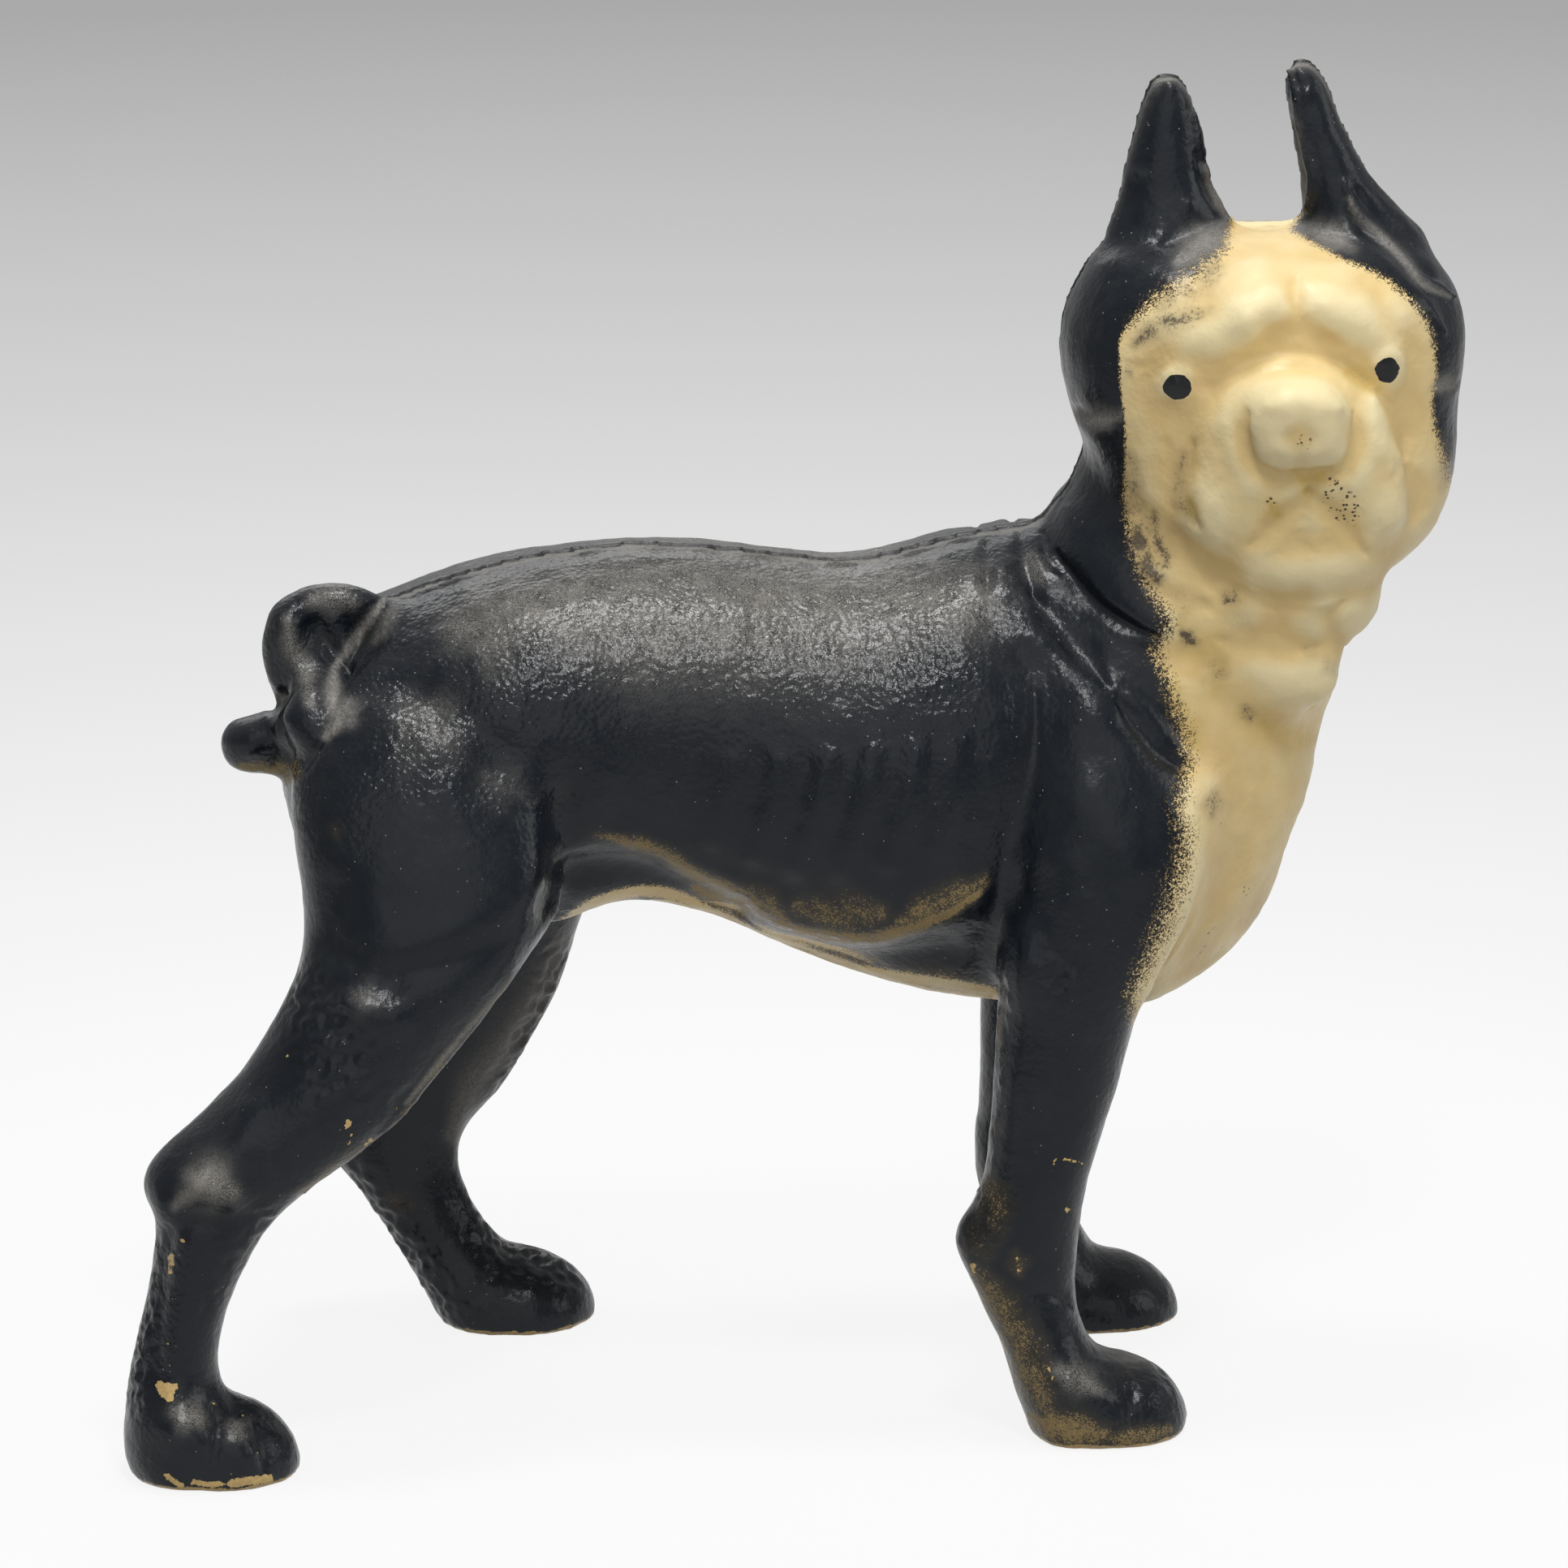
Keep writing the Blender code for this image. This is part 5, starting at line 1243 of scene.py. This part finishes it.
    # The pebbled casting under the coat, its slow waves, the pits and the chips
    pebbles = n.spots(PEBBLE_SIZE, "SMOOTH_F1").outputs["Distance"]
    height = n.times(n.times(pebbles, -PEBBLE_HEIGHT), grain)
    sand = n.times(n.noise(SAND_SIZE, 1.0), SAND_HEIGHT)
    height = n.plus(height, n.times(sand, n.spread(grain, -0.5, 1.0)))
    height = n.plus(height, n.times(n.noise(WAVE_SIZE, 1.0, 0.4), WAVE_HEIGHT))
    height = n.minus(height, n.times(chip, CHIP_DEPTH))
    n.raise_by(n.minus(height, n.times(pore, PORE_DEPTH)))
    return material


def clothe(piece, material):
    piece.data.materials.clear()
    piece.data.materials.append(material)
    piece.data.shade_smooth()


enamel = enamel_material()
for skin, node in zip(skins, (RIGHT, LEFT)):
    clothe(skin, enamel)
    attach(skin, "root")
    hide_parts(node)

# The screw: darkened steel with broken edges and turned rings on its head

STEEL = (0.21, 0.20, 0.19)
STEEL_DARK = (0.045, 0.040, 0.036)
RUST = (0.16, 0.070, 0.030)
STEEL_PATCHES = (1.6, 4.0, 0.6, 0.35, 0.70)
RUST_SPOTS = (0.8, 3.0, 0.6, 0.58, 0.72)
STEEL_METALLIC = 0.9
STEEL_ROUGHNESS = (0.36, 0.62)
RING_SPACING = 0.45 * MM
RING_HEIGHT_MM = 0.03
SCREW_BEVEL = 0.22 * MM
BEVEL_SEGMENTS = 3
SHARP_ANGLE = math.radians(50)


def steel_material(centre):
    material = bpy.data.materials.new("darkened_steel")
    n = Nodes(material)
    turns = n.times(n.distance(tuple(centre), (1.0, 0.0, 1.0)), 2 * math.pi / RING_SPACING)
    rings = n.spread(n.math("SINE", n.plus(turns, n.noise(2.0))), -1.0, 1.0)
    patches = n.clouds(*STEEL_PATCHES)
    colour = n.mix(n.times(rings, 0.35), STEEL, STEEL_DARK)
    colour = n.mix(patches, colour, STEEL_DARK)
    colour = n.mix(n.clouds(*RUST_SPOTS), colour, RUST)
    n.feed(n.shader.inputs["Base Color"], colour)
    n.shader.inputs["Metallic"].default_value = STEEL_METALLIC
    n.feed(n.shader.inputs["Roughness"], n.blend(patches, *STEEL_ROUGHNESS))
    n.raise_by(n.times(n.plus(rings, patches), RING_HEIGHT_MM))
    return material


def add_screw():
    """The screw with its edges broken."""
    piece = linked("body_screw_steel", welded(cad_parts[SCREW].data.copy()))
    bevel = piece.modifiers.new("bevel", "BEVEL")
    bevel.width = SCREW_BEVEL
    bevel.segments = BEVEL_SEGMENTS
    bevel.limit_method = "ANGLE"
    bevel.angle_limit = SHARP_ANGLE
    bake_modifiers(piece)
    low, high = (Vector(corner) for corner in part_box(SCREW))
    clothe(piece, steel_material((low + high) / 2))
    piece.data.set_sharp_from_angle(angle=SHARP_ANGLE)
    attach(piece, "root")
    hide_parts(SCREW)


add_screw()

# Floor, lamps and world

FLOOR_RADIUS = 6.0
FLOOR_SEGMENTS = 96
# Distance from the figure, and the floor's brightness there as the photograph's background has it
FLOOR_TONES = ((0.20, 1.0), (0.28, 0.982), (0.44, 0.913), (0.85, 0.694), (1.41, 0.434), (2.0, 0.40))
FLOOR_END = FLOOR_TONES[-1][0]
FLOOR_GLOW = 0.76
GLOW_STRENGTH = 1.15
FLOOR_SHADE = 0.42
WORLD_TONE = 0.20
BACKDROP_TONE = 0.40

# Name, place, width, height, watts
LAMPS = (
    ("top_softbox", (0.0, 0.0, 1.15), 0.24, 0.24, 4.9),
    ("high_front", (0.05, -0.55, 1.02), 0.18, 0.18, 3.9),
    ("front_panel", (-0.2, -2.6, 1.1), 3.0, 2.2, 15.0),
    ("right_rim", (1.3, -0.3, 0.6), 0.7, 0.7, 3.0),
    ("rear_rim", (-0.2, 1.4, 0.9), 1.0, 0.7, 3.0),
)
LAMPS_FACE = Vector((0.0, 0.0, 0.12))


def grey(tone):
    return (tone, tone, tone, 1)


def floor_material():
    material = bpy.data.materials.new("floor")
    n = Nodes(material, empty=True)
    ramp = n.make("ShaderNodeValToRGB", {"Fac": n.spread(n.distance(), 0.0, FLOOR_END)})
    stops = ramp.color_ramp.elements
    for index, (distance, tone) in enumerate(FLOOR_TONES):
        stop = stops[index] if index < 2 else stops.new(distance / FLOOR_END)
        stop.position = distance / FLOOR_END
        stop.color = grey(tone)
    tone = ramp.outputs["Color"]
    shade = n.make("ShaderNodeVectorMath", {0: tone, "Scale": FLOOR_SHADE}, operation="SCALE")
    diffuse = n.make("ShaderNodeBsdfDiffuse", {"Color": shade.outputs[0]})
    glow = n.make("ShaderNodeEmission", {"Color": tone, "Strength": GLOW_STRENGTH})
    n.output("ShaderNodeOutputMaterial", n.times(n.shown_rays(), FLOOR_GLOW), diffuse, glow)
    return material


def add_floor():
    bm = bmesh.new()
    bmesh.ops.create_circle(bm, cap_ends=True, segments=FLOOR_SEGMENTS, radius=FLOOR_RADIUS)
    mesh = bpy.data.meshes.new("floor")
    bm.to_mesh(mesh)
    bm.free()
    floor = linked("floor", mesh)
    floor.data.materials.append(floor_material())


def add_lamps():
    for name, place, width, height, watts in LAMPS:
        data = bpy.data.lights.new(name, "AREA")
        data.shape = "RECTANGLE"
        data.size = width
        data.size_y = height
        data.energy = watts
        lamp = linked(name, data)
        lamp.visible_camera = False
        lamp.location = place
        lamp.rotation_mode = "QUATERNION"
        lamp.rotation_quaternion = (LAMPS_FACE - Vector(place)).to_track_quat("-Z", "Y")


def add_world():
    world = bpy.data.worlds.new("studio")
    bpy.context.scene.world = world
    n = Nodes(world, empty=True)
    light = n.make("ShaderNodeBackground", {"Color": grey(1), "Strength": WORLD_TONE})
    backdrop = n.make("ShaderNodeBackground", {"Color": grey(BACKDROP_TONE)})
    n.output("ShaderNodeOutputWorld", n.shown_rays(), light, backdrop)


add_camera()
add_floor()
add_lamps()
add_world()
bpy.context.scene.view_settings.view_transform = "Standard"
